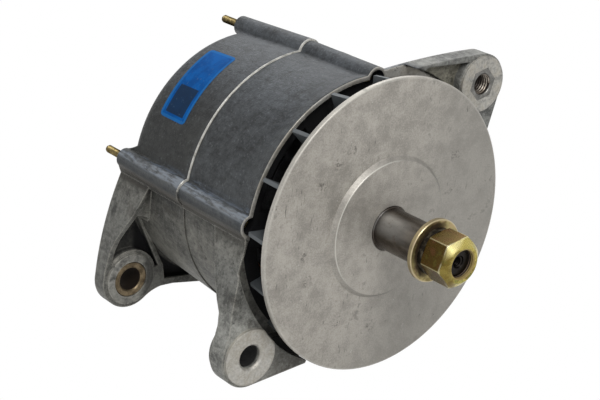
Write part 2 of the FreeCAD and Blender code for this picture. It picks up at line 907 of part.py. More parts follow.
# Long screws that pull the two shields together and stand out behind
def through_screws():
    y_seat = y_rim + pocket_depth
    screws = []
    for x, z in boss_places:
        head = chamfered_hexagon(screw_head_flats, y_seat - screw_head_height, y_seat, x, z)
        shank = cyl(screw_radius, y_seat, y_boss_back + screw_reach - 0.6, x, z)
        tip = Part.makeCone(screw_radius, screw_radius - 0.6, 0.6,
                            V(x, y_boss_back + screw_reach - 0.6, z), SHAFT)
        screws.append(fused([head, shank, tip]))
    return Part.makeCompound(screws)


def ear_thread_insert():
    y_face = y_ear - ring_height
    body = hexagon(insert_flats, y_face, y_ear_back, ear_x, ear_z, insert_turn)
    mouth = Part.makeCone(insert_thread_radius + insert_chamfer, insert_thread_radius, insert_chamfer,
                          V(ear_x, y_face, ear_z), SHAFT)
    return body.cut(cyl(insert_thread_radius, y_face - 1, y_ear_back + 1, ear_x, ear_z)).cut(mouth)


def rear_foot_bush():
    y0 = y_rear_foot - ring_height + bush_inset
    y1 = y0 + bush_length
    outer = [
        (foot_bore_radius + bush_chamfer, y0),
        (bush_radius - 0.6, y0),
        (bush_radius, y0 + 0.6),
        (bush_radius, y1 - 0.6),
        (bush_radius - 0.6, y1),
        (foot_bore_radius + bush_chamfer, y1),
        (foot_bore_radius, y1 - bush_chamfer),
        (foot_bore_radius, y0 + bush_chamfer),
    ]
    return turned(outer).translated(V(foot_x, 0, foot_z))


# Ball bearings: races grooved by one ring, balls spaced round it in a cage
def bearing(inner, outer, width, ball_radius, count, y0):
    pitch_radius = (inner + outer) / 2
    middle = y0 + width / 2
    reach = ball_radius * race_shoulder_share
    groove = Part.makeTorus(pitch_radius, ball_radius + running_gap, V(0, middle, 0), SHAFT)
    inner_race = tube(pitch_radius - reach, inner + seat_gap, y0, y0 + width).cut(groove)
    outer_race = tube(outer, pitch_radius + reach, y0, y0 + width).cut(groove)
    half = ball_radius + cage_wall
    cage = tube(pitch_radius + cage_thickness / 2, pitch_radius - cage_thickness / 2, middle - half, middle + half)
    balls = []
    for i in range(count):
        x, z = polar(pitch_radius, 360.0 / count * i)
        balls.append(Part.makeSphere(ball_radius, V(x, middle, z)))
        radial = V(x, 0, z).normalize()
        inside = V(x, middle, z) - radial * cage_thickness
        cage = cage.cut(Part.makeCylinder(ball_radius + ball_pocket_gap, 2 * cage_thickness, inside, radial))
    return inner_race, outer_race, Part.makeCompound([cage] + balls)


def bearing_retainer():
    plate = tube(front_hub_radius - 1, shaft_core_radius + 6, y_front_bearing_back,
                 y_front_bearing_back + retainer_thickness)
    for x, z in retainer_screw_places():
        plate = plate.cut(cyl(small_screw_radius + screw_gap, y_front_bearing_back - 1,
                              y_front_bearing_back + retainer_thickness + 1, x, z))
    return plate


def retainer_screws():
    y_seat = y_front_bearing_back + retainer_thickness
    screws = [cap_screw(x, z, y_seat, retainer_thickness + 8, 1) for x, z in retainer_screw_places()]
    return Part.makeCompound(screws)


# Stator: laminated ring with part-closed slots, and the winding wound through them
def slot_shape(width, mouth, depth, tip, y0, y1):
    inner = stator_bore
    return prism([
        (inner - 1, -mouth / 2),
        (inner + tip, -mouth / 2),
        (inner + tip + 1, -width / 2),
        (inner + depth, -width / 2),
        (inner + depth, width / 2),
        (inner + tip + 1, width / 2),
        (inner + tip, mouth / 2),
        (inner - 1, mouth / 2),
    ], y0, y1)


def stator_core():
    core = tube(stack_radius, stator_bore, y_stack_front, y_stack_back)
    slot = slot_shape(slot_width, slot_mouth, slot_depth, tooth_tip, y_stack_front - 1, y_stack_back + 1)
    pitch = 360.0 / slot_count
    return core.cut(Part.makeCompound([swung(slot, pitch * i) for i in range(slot_count)]))


def winding_head(y_inner, direction):
    inner = stator_bore + tooth_tip + 1 + slot_liner
    outer = stator_bore + slot_depth - slot_liner
    middle = (inner + outer) / 2
    y_outer = y_inner + direction * winding_overhang
    y_belly = y_inner + direction * winding_crown
    y_crown = y_outer - direction * winding_crown
    return turned([
        (inner, y_inner + direction * slot_liner),
        (outer, y_inner + direction * slot_liner),
        (outer + winding_pinch, y_belly),
        (outer + winding_pinch, y_crown),
        (inner - winding_pinch, y_crown, middle, y_outer),
        (inner - winding_pinch, y_belly),
    ])


def stator_winding():
    inner = stator_bore + tooth_tip + 1 + slot_liner
    outer = stator_bore + slot_depth - slot_liner
    half = slot_width / 2 - slot_liner
    bar = box(inner, outer, y_stack_front - 2, y_stack_back + 2, -half, half)
    pitch = 360.0 / slot_count
    bars = [swung(bar, pitch * i) for i in range(slot_count)]
    heads = [winding_head(y_stack_front, -1), winding_head(y_stack_back, 1)]
    return heads[0].multiFuse([heads[1]] + bars)


# Rotor: two pole pieces whose tapered claws interleave over the field coil
def claw():
    profile = turned([
        (rotor_radius - claw_root_depth, y_pole_front),
        (rotor_radius, y_pole_front),
        (rotor_radius, y_pole_front + pole_disc_thickness + claw_length),
        (rotor_radius - claw_tip_depth, y_pole_front + pole_disc_thickness + claw_length),
        (rotor_radius - claw_root_depth, y_pole_front + pole_disc_thickness),
    ])
    root = claw_root_width / 2
    tip = claw_tip_width / 2
    y_tip = y_pole_front + pole_disc_thickness + claw_length
    plan = path_face([
        (-root, y_pole_front),
        (root, y_pole_front),
        (root, y_pole_front + pole_disc_thickness),
        (tip, y_tip),
        (-tip, y_tip),
        (-root, y_pole_front + pole_disc_thickness),
    ], lambda z, y: V(pole_disc_radius - 14, y, z))
    block = upright(plan.extrude(V(rotor_radius, 0, 0)))
    return profile.common(block)


def pole():
    disc = tube(pole_disc_radius, shaft_core_radius + seat_gap, y_pole_front, y_pole_front + pole_disc_thickness)
    core = tube(pole_core_radius, shaft_core_radius + seat_gap, y_pole_front, y_joint)
    arm = box(pole_disc_radius - 14, rotor_radius - claw_root_depth + 1, y_pole_front,
              y_pole_front + pole_disc_thickness, -claw_root_width / 2, claw_root_width / 2)
    one = claw()
    pitch = 360.0 / claw_count
    claws = [swung(one, pitch * i) for i in range(claw_count)]
    arms = [swung(arm, pitch * i) for i in range(claw_count)]
    return fused([disc, core] + arms + claws)


def rear_pole(front):
    half_pitch = 180.0 / claw_count
    flipped = front.mirror(V(0, y_joint, 0), SHAFT)
    return swung(flipped, half_pitch)


def bobbin_limits():
    y0 = y_pole_front + pole_disc_thickness + coil_side_gap
    return y0, 2 * y_joint - y0


def coil_bobbin():
    y0, y1 = bobbin_limits()
    inner = pole_core_radius + seat_gap
    barrel = inner + bobbin_wall
    flange = pole_disc_radius
    return turned([
        (inner, y0),
        (flange, y0),
        (flange, y0 + bobbin_wall),
        (barrel, y0 + bobbin_wall),
        (barrel, y1 - bobbin_wall),
        (flange, y1 - bobbin_wall),
        (flange, y1),
        (inner, y1),
    ])


def field_coil():
    y0, y1 = bobbin_limits()
    inner = pole_core_radius + seat_gap + bobbin_wall
    y0 = y0 + bobbin_wall
    y1 = y1 - bobbin_wall
    outer = pole_disc_radius - 1.5
    return turned([
        (inner, y0),
        (outer - 2, y0),
        (outer, y0 + 2),
        (outer, y1 - 2),
        (outer - 2, y1),
        (inner, y1),
    ])


# Slip rings on their insulating hub
def slip_ring_centres():
    middle = y_slip_hub + slip_hub_length / 2
    return [middle - slip_ring_pitch / 2, middle + slip_ring_pitch / 2]


def slip_ring_hub():
    return tube(slip_hub_radius, shaft_slip_ring_radius + seat_gap, y_slip_hub, y_slip_hub + slip_hub_length)


def slip_rings():
    half = slip_ring_width / 2
    rings = [tube(slip_ring_radius, slip_hub_radius + seat_gap, y - half, y + half) for y in slip_ring_centres()]
    return Part.makeCompound(rings)


# Brush holder: snout through the collar, chamber above it, flange on the end wall
z_snout = slip_ring_radius + 2.5
z_holder = z_snout + holder_snout_length
z_holder_top = z_holder + holder_height


def holder_screw_places():
    return [(side * (holder_flange_half_width - 4.5), z_holder + 8) for side in (-1, 1)]


def brush_holder():
    y1 = y_collar_back - 2
    snout = box(-holder_snout_half_width, holder_snout_half_width, y_back + 0.6, y1, z_snout, z_holder + 3)
    chamber = box(-holder_half_width, holder_half_width, y_back + 0.1, y1, collar_outer + 0.3, z_holder_top)
    flange = box(-holder_flange_half_width, holder_flange_half_width, y_back, y_back + holder_flange_thickness,
                 z_holder + 3, z_holder + 13)
    body = fused([snout, chamber, flange])
    for y in slip_ring_centres():
        channel = box(-brush_width / 2 - running_gap, brush_width / 2 + running_gap,
                      y - brush_breadth / 2 - running_gap, y + brush_breadth / 2 + running_gap,
                      z_snout - 1, z_holder_top - holder_top_wall)
        body = body.cut(channel)
    for x, z in holder_screw_places():
        body = body.cut(cyl(small_screw_radius + screw_gap, y_back - 1, y_back + holder_flange_thickness + 1, x, z))
    return body


def brush(y):
    block = box(-brush_width / 2, brush_width / 2, y - brush_breadth / 2, y + brush_breadth / 2,
                slip_ring_radius - 1, slip_ring_radius + brush_length)
    return block.cut(cyl(slip_ring_radius + running_gap, y - brush_breadth, y + brush_breadth))


def brush_spring(y):
    wire = spring_wire_radius
    low = slip_ring_radius + brush_length + wire + seat_gap
    high = z_holder_top - holder_top_wall - wire - seat_gap
    stations = spring_turns * spring_sides
    rows = []
    for i in range(stations + 1):
        u, v = polar(1.0, 360.0 / spring_sides * i)
        z = low + (high - low) * i / stations
        row = []
        for out, up in ((1, -1), (1, 1), (-1, 1), (-1, -1)):
            r = spring_coil_radius + out * wire
            row.append(V(r * u, y + r * v, z + up * wire))
        rows.append(row)
    faces = [Part.Face(Part.makePolygon(rows[0] + rows[0][:1])), Part.Face(Part.makePolygon(rows[-1] + rows[-1][:1]))]
    for here, there in zip(rows, rows[1:]):
        for k in range(4):
            j = (k + 1) % 4
            faces.append(Part.Face(Part.makePolygon([here[k], here[j], there[j], here[k]])))
            faces.append(Part.Face(Part.makePolygon([here[k], there[j], there[k], here[k]])))
    return upright(Part.Solid(Part.Shell(faces)))


def holder_screws():
    y_seat = y_back + holder_flange_thickness
    return Part.makeCompound([
        cap_screw(x, z, y_seat, holder_flange_thickness + small_screw_bite, 1) for x, z in holder_screw_places()
    ])


def slip_ring_cap():
    lid = cyl(collar_outer, y_collar_back, y_collar_back + cap_thickness)
    skirt = tube(collar_inner - running_gap, collar_inner - 1.5, y_collar_back - 1.3, y_collar_back + 1)
    return lid.fuse(skirt)


# Voltage regulator: finned block on the end wall above the brushes
z_regulator = z_holder_top + regulator_gap


def regulator_screw_places():
    x = regulator_half_width - regulator_screw_inset
    return [(side * x, z_regulator + regulator_height / 2) for side in (-1, 1)]


def voltage_regulator():
    y1 = y_back + regulator_depth
    body = box(-regulator_half_width, regulator_half_width, y_back, y1 - regulator_fin_depth,
               z_regulator, z_regulator + regulator_height)
    span = 2 * (regulator_half_width - 2 * regulator_screw_inset)
    pitch = (span - regulator_fin_thickness) / (regulator_fin_count - 1)
    fins = []
    for i in range(regulator_fin_count):
        x = -span / 2 + pitch * i
        fins.append(box(x, x + regulator_fin_thickness, y1 - regulator_fin_depth - 0.5, y1,
                        z_regulator + 1.5, z_regulator + regulator_height - 1.5))
    block = fused([body] + fins)
    for x, z in regulator_screw_places():
        block = block.cut(cyl(small_screw_radius + screw_gap, y_back - 1, y1 + 1, x, z))
    return block


def regulator_screws():
    y_seat = y_back + regulator_depth - regulator_fin_depth
    length = regulator_depth - regulator_fin_depth + small_screw_bite
    return Part.makeCompound([cap_screw(x, z, y_seat, length, 1) for x, z in regulator_screw_places()])


# Rectifier: two horseshoe heat sinks carried off the end wall, with pressed-in diodes
y_negative_sink = y_back - rear_wall - negative_sink_gap - sink_thickness
y_positive_sink = y_negative_sink - sink_spacing - sink_thickness


def sink(y0, angles, hole_places, hole_size):
    middle = sink_start + sink_sweep / 2
    plate = sector(sink_inner, sink_outer, middle, sink_sweep, y0, y0 + sink_thickness)
    cuts = [cyl(diode_radius + seat_gap, y0 - 1, y0 + sink_thickness + 1, *polar(diode_circle, a)) for a in angles]
    cuts += [cyl(small_screw_radius + screw_gap, y0 - 1, y0 + sink_thickness + 1, x, z)
             for x, z in standoff_places()]
    cuts += [cyl(hole_size, y0 - 1, y0 + sink_thickness + 1, x, z) for x, z in hole_places]
    return plate.cut(Part.makeCompound(cuts))


def diodes(y_plate, angles, side):
    parts = []
    for angle in angles:
        x, z = polar(diode_circle, angle)
        y_top = y_plate + sink_thickness if side > 0 else y_plate
        low = min(y_plate, y_top + side * (diode_height - sink_thickness))
        high = max(y_plate + sink_thickness, y_top + side * (diode_height - sink_thickness))
        parts.append(cyl(diode_radius, low, high, x, z))
    return Part.makeCompound(parts)


def rectifier_standoffs():
    bore = small_screw_radius + screw_gap
    posts = []
    for x, z in standoff_places():
        posts.append(tube(standoff_radius, bore, y_positive_sink + sink_thickness, y_negative_sink, x, z))
        posts.append(tube(standoff_radius, bore, y_negative_sink + sink_thickness, y_back - rear_wall, x, z))
    return Part.makeCompound(posts)


def rectifier_screws():
    length = y_back - rear_wall + small_screw_bite - y_positive_sink
    return Part.makeCompound([
        cap_screw(x, z, y_positive_sink, length, -1) for x, z in standoff_places()
    ])


# Terminals behind the end wall
def terminal(radius, angle, y_head, y_end, head_flats):
    x, z = polar(terminal_circle, angle)
    head = chamfered_hexagon(head_flats, y_head - 3, y_head, x, z)
    shank = cyl(radius, y_head, y_end, x, z)
    return fused([head, shank])


def positive_terminal():
    return terminal(terminal_radius, positive_angle, y_positive_sink, y_back + terminal_length, terminal_nut_flats)


def negative_terminal():
    x, z = polar(terminal_circle, negative_angle)
    return cyl(terminal_radius, y_back - rear_wall, y_back + terminal_length, x, z)


def signal_terminal():
    x, z = polar(terminal_circle, signal_angle)
    return cyl(signal_radius, y_back - rear_wall - 3, y_back + signal_length, x, z)


def positive_insulator():
    x, z = polar(terminal_circle, positive_angle)
    bore = terminal_radius + seat_gap
    sleeve = tube(terminal_radius + bush_wall, bore, y_negative_sink + sink_thickness, y_back + 1, x, z)
    collar = tube(bush_collar_radius, bore, y_back, y_back + bush_collar_height, x, z)
    return sleeve.fuse(collar).removeSplitter()


def signal_insulator():
    x, z = polar(terminal_circle, signal_angle)
    bore = signal_radius + seat_gap
    sleeve = tube(signal_radius + bush_wall - seat_gap, bore, y_back - rear_wall, y_back + 1, x, z)
    collar = tube(bush_collar_radius - 3, bore, y_back, y_back + bush_collar_height - 2, x, z)
    return sleeve.fuse(collar).removeSplitter()


def terminal_nuts():
    nuts = []
    places = [
        (positive_angle, y_back + bush_collar_height, terminal_radius, terminal_nut_flats, terminal_nut_height),
        (negative_angle, y_back, terminal_radius, terminal_nut_flats, terminal_nut_height),
        (signal_angle, y_back + bush_collar_height - 2, signal_radius, signal_nut_flats, signal_nut_height),
    ]
    for angle, y0, radius, flats, height in places:
        x, z = polar(terminal_circle, angle)
        nut = chamfered_hexagon(flats, y0, y0 + height, x, z, terminal_nut_turn)
        nuts.append(nut.cut(cyl(radius + seat_gap, y0 - 1, y0 + height + 1, x, z)))
    return Part.makeCompound(nuts)


# Every piece in turn
front_inner, front_outer, front_balls = bearing(
    shaft_front_bearing_radius, front_bearing_outer, front_bearing_width,
    front_ball_radius, front_ball_count, y_front_bearing)
rear_inner, rear_outer, rear_balls = bearing(
    shaft_rear_bearing_radius, rear_bearing_outer, rear_bearing_width,
    rear_ball_radius, rear_ball_count, y_rear_bearing)
front_pole_piece = pole()
ring_centres = slip_ring_centres()
positive_place = polar(terminal_circle, positive_angle)
negative_diode_angles = [angle + diode_offset for angle in diode_angles]

save(drive_end_shield(), "drive_end_shield")
save(slip_ring_end_shield(), "slip_ring_end_shield")
save(through_screws(), "through_screws")
save(ear_thread_insert(), "ear_thread_insert")
save(rear_foot_bush(), "rear_foot_bush")
save(fan(), "fan")
save(shaft(), "shaft")
save(fan_spacer(), "fan_spacer")
save(plain_washer(), "pulley_washer")
save(spring_washer(), "pulley_spring_washer")
save(pulley_nut(), "pulley_nut")
save(front_inner, "front_bearing_inner_race")
save(front_outer, "front_bearing_outer_race")
save(front_balls, "front_bearing_cage")
save(rear_inner, "rear_bearing_inner_race")
save(rear_outer, "rear_bearing_outer_race")
save(rear_balls, "rear_bearing_cage")
save(bearing_retainer(), "bearing_retainer")
save(retainer_screws(), "retainer_screws")
save(stator_core(), "stator_core")
save(stator_winding(), "stator_winding")
save(front_pole_piece, "front_claw_pole")
save(rear_pole(front_pole_piece), "rear_claw_pole")
save(coil_bobbin(), "coil_bobbin")
save(field_coil(), "field_coil")
save(slip_ring_hub(), "slip_ring_hub")
save(slip_rings(), "slip_rings")
save(brush_holder(), "brush_holder")
save(holder_screws(), "brush_holder_screws")
save(brush(ring_centres[0]), "front_brush")
save(brush(ring_centres[1]), "rear_brush")
save(brush_spring(ring_centres[0]), "front_brush_spring")
save(brush_spring(ring_centres[1]), "rear_brush_spring")
save(slip_ring_cap(), "slip_ring_cap")
save(voltage_regulator(), "voltage_regulator")
save(regulator_screws(), "regulator_screws")
save(sink(y_positive_sink, diode_angles, [positive_place], terminal_radius + seat_gap), "positive_heat_sink")
save(sink(y_negative_sink, negative_diode_angles, [positive_place], terminal_radius + bush_wall + 1.5),
     "negative_heat_sink")
save(diodes(y_positive_sink, diode_angles, 1), "positive_diodes")
save(diodes(y_negative_sink, negative_diode_angles, -1), "negative_diodes")
save(rectifier_standoffs(), "rectifier_standoffs")
save(rectifier_screws(), "rectifier_screws")
save(positive_terminal(), "positive_terminal")
save(negative_terminal(), "negative_terminal")
save(signal_terminal(), "signal_terminal")
save(positive_insulator(), "positive_insulator")
save(signal_insulator(), "signal_insulator")
save(terminal_nuts(), "terminal_nuts")
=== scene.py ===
import json
import math

import bmesh
import bpy
from mathutils import Matrix, Vector


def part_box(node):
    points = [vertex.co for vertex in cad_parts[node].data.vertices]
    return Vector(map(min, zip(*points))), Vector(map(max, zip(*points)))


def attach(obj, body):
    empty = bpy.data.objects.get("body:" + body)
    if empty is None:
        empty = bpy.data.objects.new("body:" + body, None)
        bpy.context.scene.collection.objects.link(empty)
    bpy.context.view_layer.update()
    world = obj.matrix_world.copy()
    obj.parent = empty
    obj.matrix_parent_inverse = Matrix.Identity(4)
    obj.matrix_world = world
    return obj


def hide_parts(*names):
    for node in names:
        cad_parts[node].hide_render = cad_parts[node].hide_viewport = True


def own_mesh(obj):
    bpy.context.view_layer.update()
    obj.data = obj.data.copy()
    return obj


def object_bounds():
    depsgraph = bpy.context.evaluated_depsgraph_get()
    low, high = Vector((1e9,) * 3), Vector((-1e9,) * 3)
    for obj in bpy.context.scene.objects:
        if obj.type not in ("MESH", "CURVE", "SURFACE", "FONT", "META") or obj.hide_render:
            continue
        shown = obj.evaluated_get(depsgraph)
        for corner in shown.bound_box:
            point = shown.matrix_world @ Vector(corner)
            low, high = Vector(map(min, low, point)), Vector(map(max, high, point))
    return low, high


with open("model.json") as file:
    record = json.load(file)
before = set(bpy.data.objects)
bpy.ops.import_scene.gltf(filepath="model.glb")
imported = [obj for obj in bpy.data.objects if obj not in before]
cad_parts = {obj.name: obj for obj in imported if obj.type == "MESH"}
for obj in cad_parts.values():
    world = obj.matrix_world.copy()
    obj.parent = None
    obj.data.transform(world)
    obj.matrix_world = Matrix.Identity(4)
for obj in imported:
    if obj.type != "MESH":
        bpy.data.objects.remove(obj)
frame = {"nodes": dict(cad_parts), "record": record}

cad_low, cad_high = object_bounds()


# Drive end shield: one deep die casting in sand-textured aluminium that carries the front bearing, the front
# foot and the adjusting ear. Its open rim, the joint with the other shield and the rings of foot and ear are
# machined bright after casting, and its air chamber, the front foot's bore and the ledge below the rim are
# painted dark as shade.
class Field:
    """A socket of a node tree. Arithmetic on it adds Math nodes; step() adds any other node."""

    def __init__(self, tree, socket):
        self.tree = tree
        self.socket = socket

    def step(self, kind, settings=None, inputs=None, output=0):
        node = self.tree.nodes.new(kind)
        for name, value in (settings or {}).items():
            setattr(node, name, value)
        for key, value in (inputs or {}).items():
            if isinstance(value, Field):
                self.tree.links.new(value.socket, node.inputs[key])
            else:
                node.inputs[key].default_value = value
        return Field(self.tree, node.outputs[output]) if len(node.outputs) else None

    def math(self, operation, first, second=0.0):
        return self.step("ShaderNodeMath", {"operation": operation}, {0: first, 1: second})

    def __add__(self, other):
        return self.math("ADD", self, other)

    def __radd__(self, other):
        return self.math("ADD", other, self)

    def __sub__(self, other):
        return self.math("SUBTRACT", self, other)

    def __rsub__(self, other):
        return self.math("SUBTRACT", other, self)

    def __mul__(self, other):
        return self.math("MULTIPLY", self, other)

    def __rmul__(self, other):
        return self.math("MULTIPLY", other, self)


def new_finish(name):
    material = bpy.data.materials.new(name)
    material.use_nodes = True
    material.node_tree.nodes.clear()
    coordinates = material.node_tree.nodes.new("ShaderNodeTexCoord")
    return material, Field(material.node_tree, coordinates.outputs["Object"])


def xyz(place):
    return [place.step("ShaderNodeSeparateXYZ", inputs={0: place}, output=output) for output in range(3)]


def distance_from_axis(place, centre=(0.0, 0.0, 0.0)):
    """Distance from an axis along Y through centre."""
    across = place.step("ShaderNodeVectorMath", {"operation": "SUBTRACT"}, {0: place, 1: centre})
    across = across.step("ShaderNodeVectorMath", {"operation": "MULTIPLY"}, {0: across, 1: (1.0, 0.0, 1.0)})
    return across.step("ShaderNodeVectorMath", {"operation": "LENGTH"}, {0: across}, output=1)


def degrees_around(place):
    x, y, z = xyz(place)
    return x.math("ARCTAN2", z, x) * (180.0 / math.pi)


def rise(value, low, high):
    """0 below low, 1 above high, smooth between them; low above high falls instead."""
    return value.step("ShaderNodeMapRange", {"interpolation_type": "SMOOTHSTEP"}, {
        "Value": value, "From Min": low, "From Max": high, "To Min": 0.0, "To Max": 1.0})


def band(value, low, high, soft):
    return rise(value, low - soft, low) * rise(value, high + soft, high)


def region(place, **edges):
    """Share of a region. x, y, z and radius each give, in millimetres, where it starts and where it is full."""
    share = 1.0
    for name, (start, full) in edges.items():
        measure = distance_from_axis(place) if name == "radius" else xyz(place)["xyz".index(name)]
        share = share * rise(measure, start * MM, full * MM)
    return share


def cloud(place, grain, detail=3.0, roughness=0.55, stretch=(1.0, 1.0, 1.0)):
    """Noise whose patches are about one grain across, in metres."""
    scaled = place.step("ShaderNodeVectorMath", {"operation": "MULTIPLY"}, {0: place, 1: stretch})
    return scaled.step("ShaderNodeTexNoise", inputs={
        "Vector": scaled, "Scale": 1.0 / grain, "Detail": detail, "Roughness": roughness})


def mixed(first, second, share):
    """Colour between first and second, each a colour or a Field."""
    return share.step("ShaderNodeMix", {"data_type": "RGBA"}, {0: share, 6: first, 7: second}, output=2)


def times(colour, factor):
    return factor.step("ShaderNodeVectorMath", {"operation": "SCALE"}, {0: colour, "Scale": factor})


def surface(place, colour, roughness, metallic, height=None, depth=0.0, edge=0.0, rubbed=None, **constants):
    """Principled shader and output. height is a bump map and depth its height, edge the radius to which sharp
    edges look rounded, and rubbed the colour and share that those edges are worn to."""
    normal = None
    if edge:
        normal = place.step("ShaderNodeBevel", {"samples": 4}, {"Radius": edge})
    if rubbed:
        flat = place.step("ShaderNodeNewGeometry", output="Normal")
        same = place.step("ShaderNodeVectorMath", {"operation": "DOT_PRODUCT"}, {0: normal, 1: flat}, output=1)
        colour = mixed(colour, rubbed[0], rise(same, 0.985, 0.86) * rubbed[1])
    inputs = {"Base Color": colour, "Roughness": roughness, "Metallic": metallic, **constants}
    if height is not None:
        bump = {"Strength": 1.0, "Distance": depth, "Height": height}
        if normal:
            bump["Normal"] = normal
        normal = place.step("ShaderNodeBump", None, bump)
    if normal:
        inputs["Normal"] = normal
    shader = place.step("ShaderNodeBsdfPrincipled", None, inputs)
    place.step("ShaderNodeOutputMaterial", inputs={"Surface": shader})


def paint(material, *names):
    for name in names:
        for slot in frame["nodes"][name].material_slots:
            slot.material = material


MM = 0.001
mounts = {mount["name"]: Vector(mount["pos_m"]) for mount in frame["record"]["mounts"]}
foot = mounts["front_foot_bore"]
foot_bore = 8.2 * MM
foot_ring = 19.5 * MM
foot_ring_face = 20.5 * MM
ear = mounts["adjusting_ear_thread"]
ear_ring = 19.2 * MM
ear_ring_face = 17.6 * MM
rim_front = 28.0 * MM
rim_outside = 95.6 * MM
rim_inside = 92.6 * MM
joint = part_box("slip_ring_end_shield")[0].y
joint_band = 0.5 * MM
boss_spacing = 90.0
first_boss_angle = -4.0
boss_crest = 98.4 * MM

cast_grey = (0.078, 0.085, 0.092, 1.0)
cast_dark = (0.022, 0.0225, 0.020, 1.0)
cast_warm = (0.142, 0.138, 0.120, 1.0)
cast_pale = (0.27, 0.285, 0.295, 1.0)
arm_front_grey = (0.205, 0.203, 0.184, 1.0)
arm_rear_grey = (0.135, 0.133, 0.119, 1.0)
boss_blue_shade = (0.040, 0.050, 0.064, 1.0)
boss_highlight_blue = (0.20, 0.25, 0.33, 1.0)
boss_shade_dark = (0.020, 0.024, 0.028, 1.0)
olive_oil = (0.205, 0.190, 0.140, 1.0)
# Oily brown, for oil patches and also for painted shade under the bosses.
oil_and_shade_brown = (0.042, 0.035, 0.026, 1.0)
dirt_and_shade_black = (0.0025, 0.0025, 0.003, 1.0)
machined = (0.46, 0.445, 0.41, 1.0)
ring_tan = (0.36, 0.335, 0.285, 1.0)
seam_glint = (0.72, 0.71, 0.67, 1.0)
worn_edge = (0.46, 0.44, 0.385, 1.0)


def raw_casting(place, large, mottle):
    """Cool grey above, warmer below and on the arms, darkened on the left as painted shade, and mottled all
    over.
    """
    below = region(place, z=(5, -9)) + 0.5 * region(place, x=(-90, -96), z=(4, 0))
    colour = mixed(cast_grey, cast_warm, below * (0.68 + 0.5 * large))
    rear_end = region(place, y=(60, 104))
    low_arm = 1.3 * region(place, z=(-40, -58)) - 0.75 * region(place, z=(10, -20))
    arm_tone = times(mixed(arm_front_grey, arm_rear_grey, rear_end), 1.0 + 0.4 * low_arm * (1 - rear_end))
    top_boss = region(place, x=(32, 22), z=(70, 82))
    colour = mixed(colour, arm_tone, region(place, radius=(94.5, 104)) * (1 - top_boss) * (0.6 + 0.5 * large))
    facing_front = rise(xyz(place.step("ShaderNodeNewGeometry", output="Normal"))[1], -0.55, -0.8)
    ear_pocket = region(place, x=(24, 40), y=(19, 20.5), z=(20, 36)) * facing_front
    colour = mixed(colour, olive_oil, ear_pocket * 0.75)
    crown = region(place, x=(40, 20), z=(30, 72))
    colour = times(colour, 1 - 0.3 * crown)
    # Painted shade: the left side is darkened, more so towards the rear.
    left_side_shade = region(place, x=(-52, -86), z=(-24, 0), radius=(98, 95))
    colour = mixed(colour, cast_dark, left_side_shade * (0.40 + 0.36 * region(place, y=(90, 104)) + 0.3 * large))
    return times(colour, 0.34 + 1.32 * rise(mottle, 0.37, 0.63))


def boss_marks(place, colour, middle, streaks):
    """The four screw bosses: crests scuffed pale and partly painted as highlight, flanks darkened oily brown as
    painted shade, and on the left one a bluish painted shade streaked with painted highlight over a band of
    painted shade. Gives the colour and the share of crest."""
    z = xyz(place)[2]
    radius = distance_from_axis(place)
    left_boss = region(place, x=(-90, -96))
    patchy = rise(streaks * 0.5 + middle * 0.5, 0.44, 0.60)
    # Painted shade, bluish, on the upper back of the left boss.
    colour = mixed(colour, boss_blue_shade, left_boss * band(z, 11 * MM, 18 * MM, 2 * MM) * (0.2 + 0.6 * patchy))
    # Painted highlight: pale blue streaks on the upper back of the left boss.
    streak_highlight = left_boss * band(z, 11 * MM, 16 * MM, 3 * MM) * rise(streaks, 0.42, 0.62)
    colour = mixed(colour, boss_highlight_blue, streak_highlight * 0.5)
    turn = (degrees_around(place) - first_boss_angle) * (1 / boss_spacing) + 4.5
    beside = (turn.math("FRACT", turn) - 0.5) * boss_spacing
    # The crests are scuffed pale, and this pale also stands in for a painted highlight along the bosses.
    crest = band(beside, -6.0, -1.0, 1.2) * rise(radius, boss_crest - 3.2 * MM, boss_crest - 1.4 * MM) \
        * rise(radius, boss_crest + 5.0 * MM, boss_crest + 3.5 * MM)
    colour = mixed(colour, cast_pale, crest * rise(streaks * 0.6 + middle * 0.4, 0.40, 0.60) * 0.6)
    # Painted shade: the flank under each crest, facing down, is darkened in oily brown.
    flank = band(beside, 1.5, 7.0, 1.5) * region(place, radius=(94.3, 96.0), z=(30, 0))
    flank = flank * region(place, radius=(102.0, 100.5))
    colour = mixed(colour, oil_and_shade_brown, flank * (0.35 + 0.5 * middle))
    # Painted shade: a dark band along the middle of the left boss.
    shade_band = left_boss * band(z, 5 * MM, 9 * MM, 2 * MM)
    return mixed(colour, boss_shade_dark, shade_band * (0.6 + 0.3 * patchy)), crest


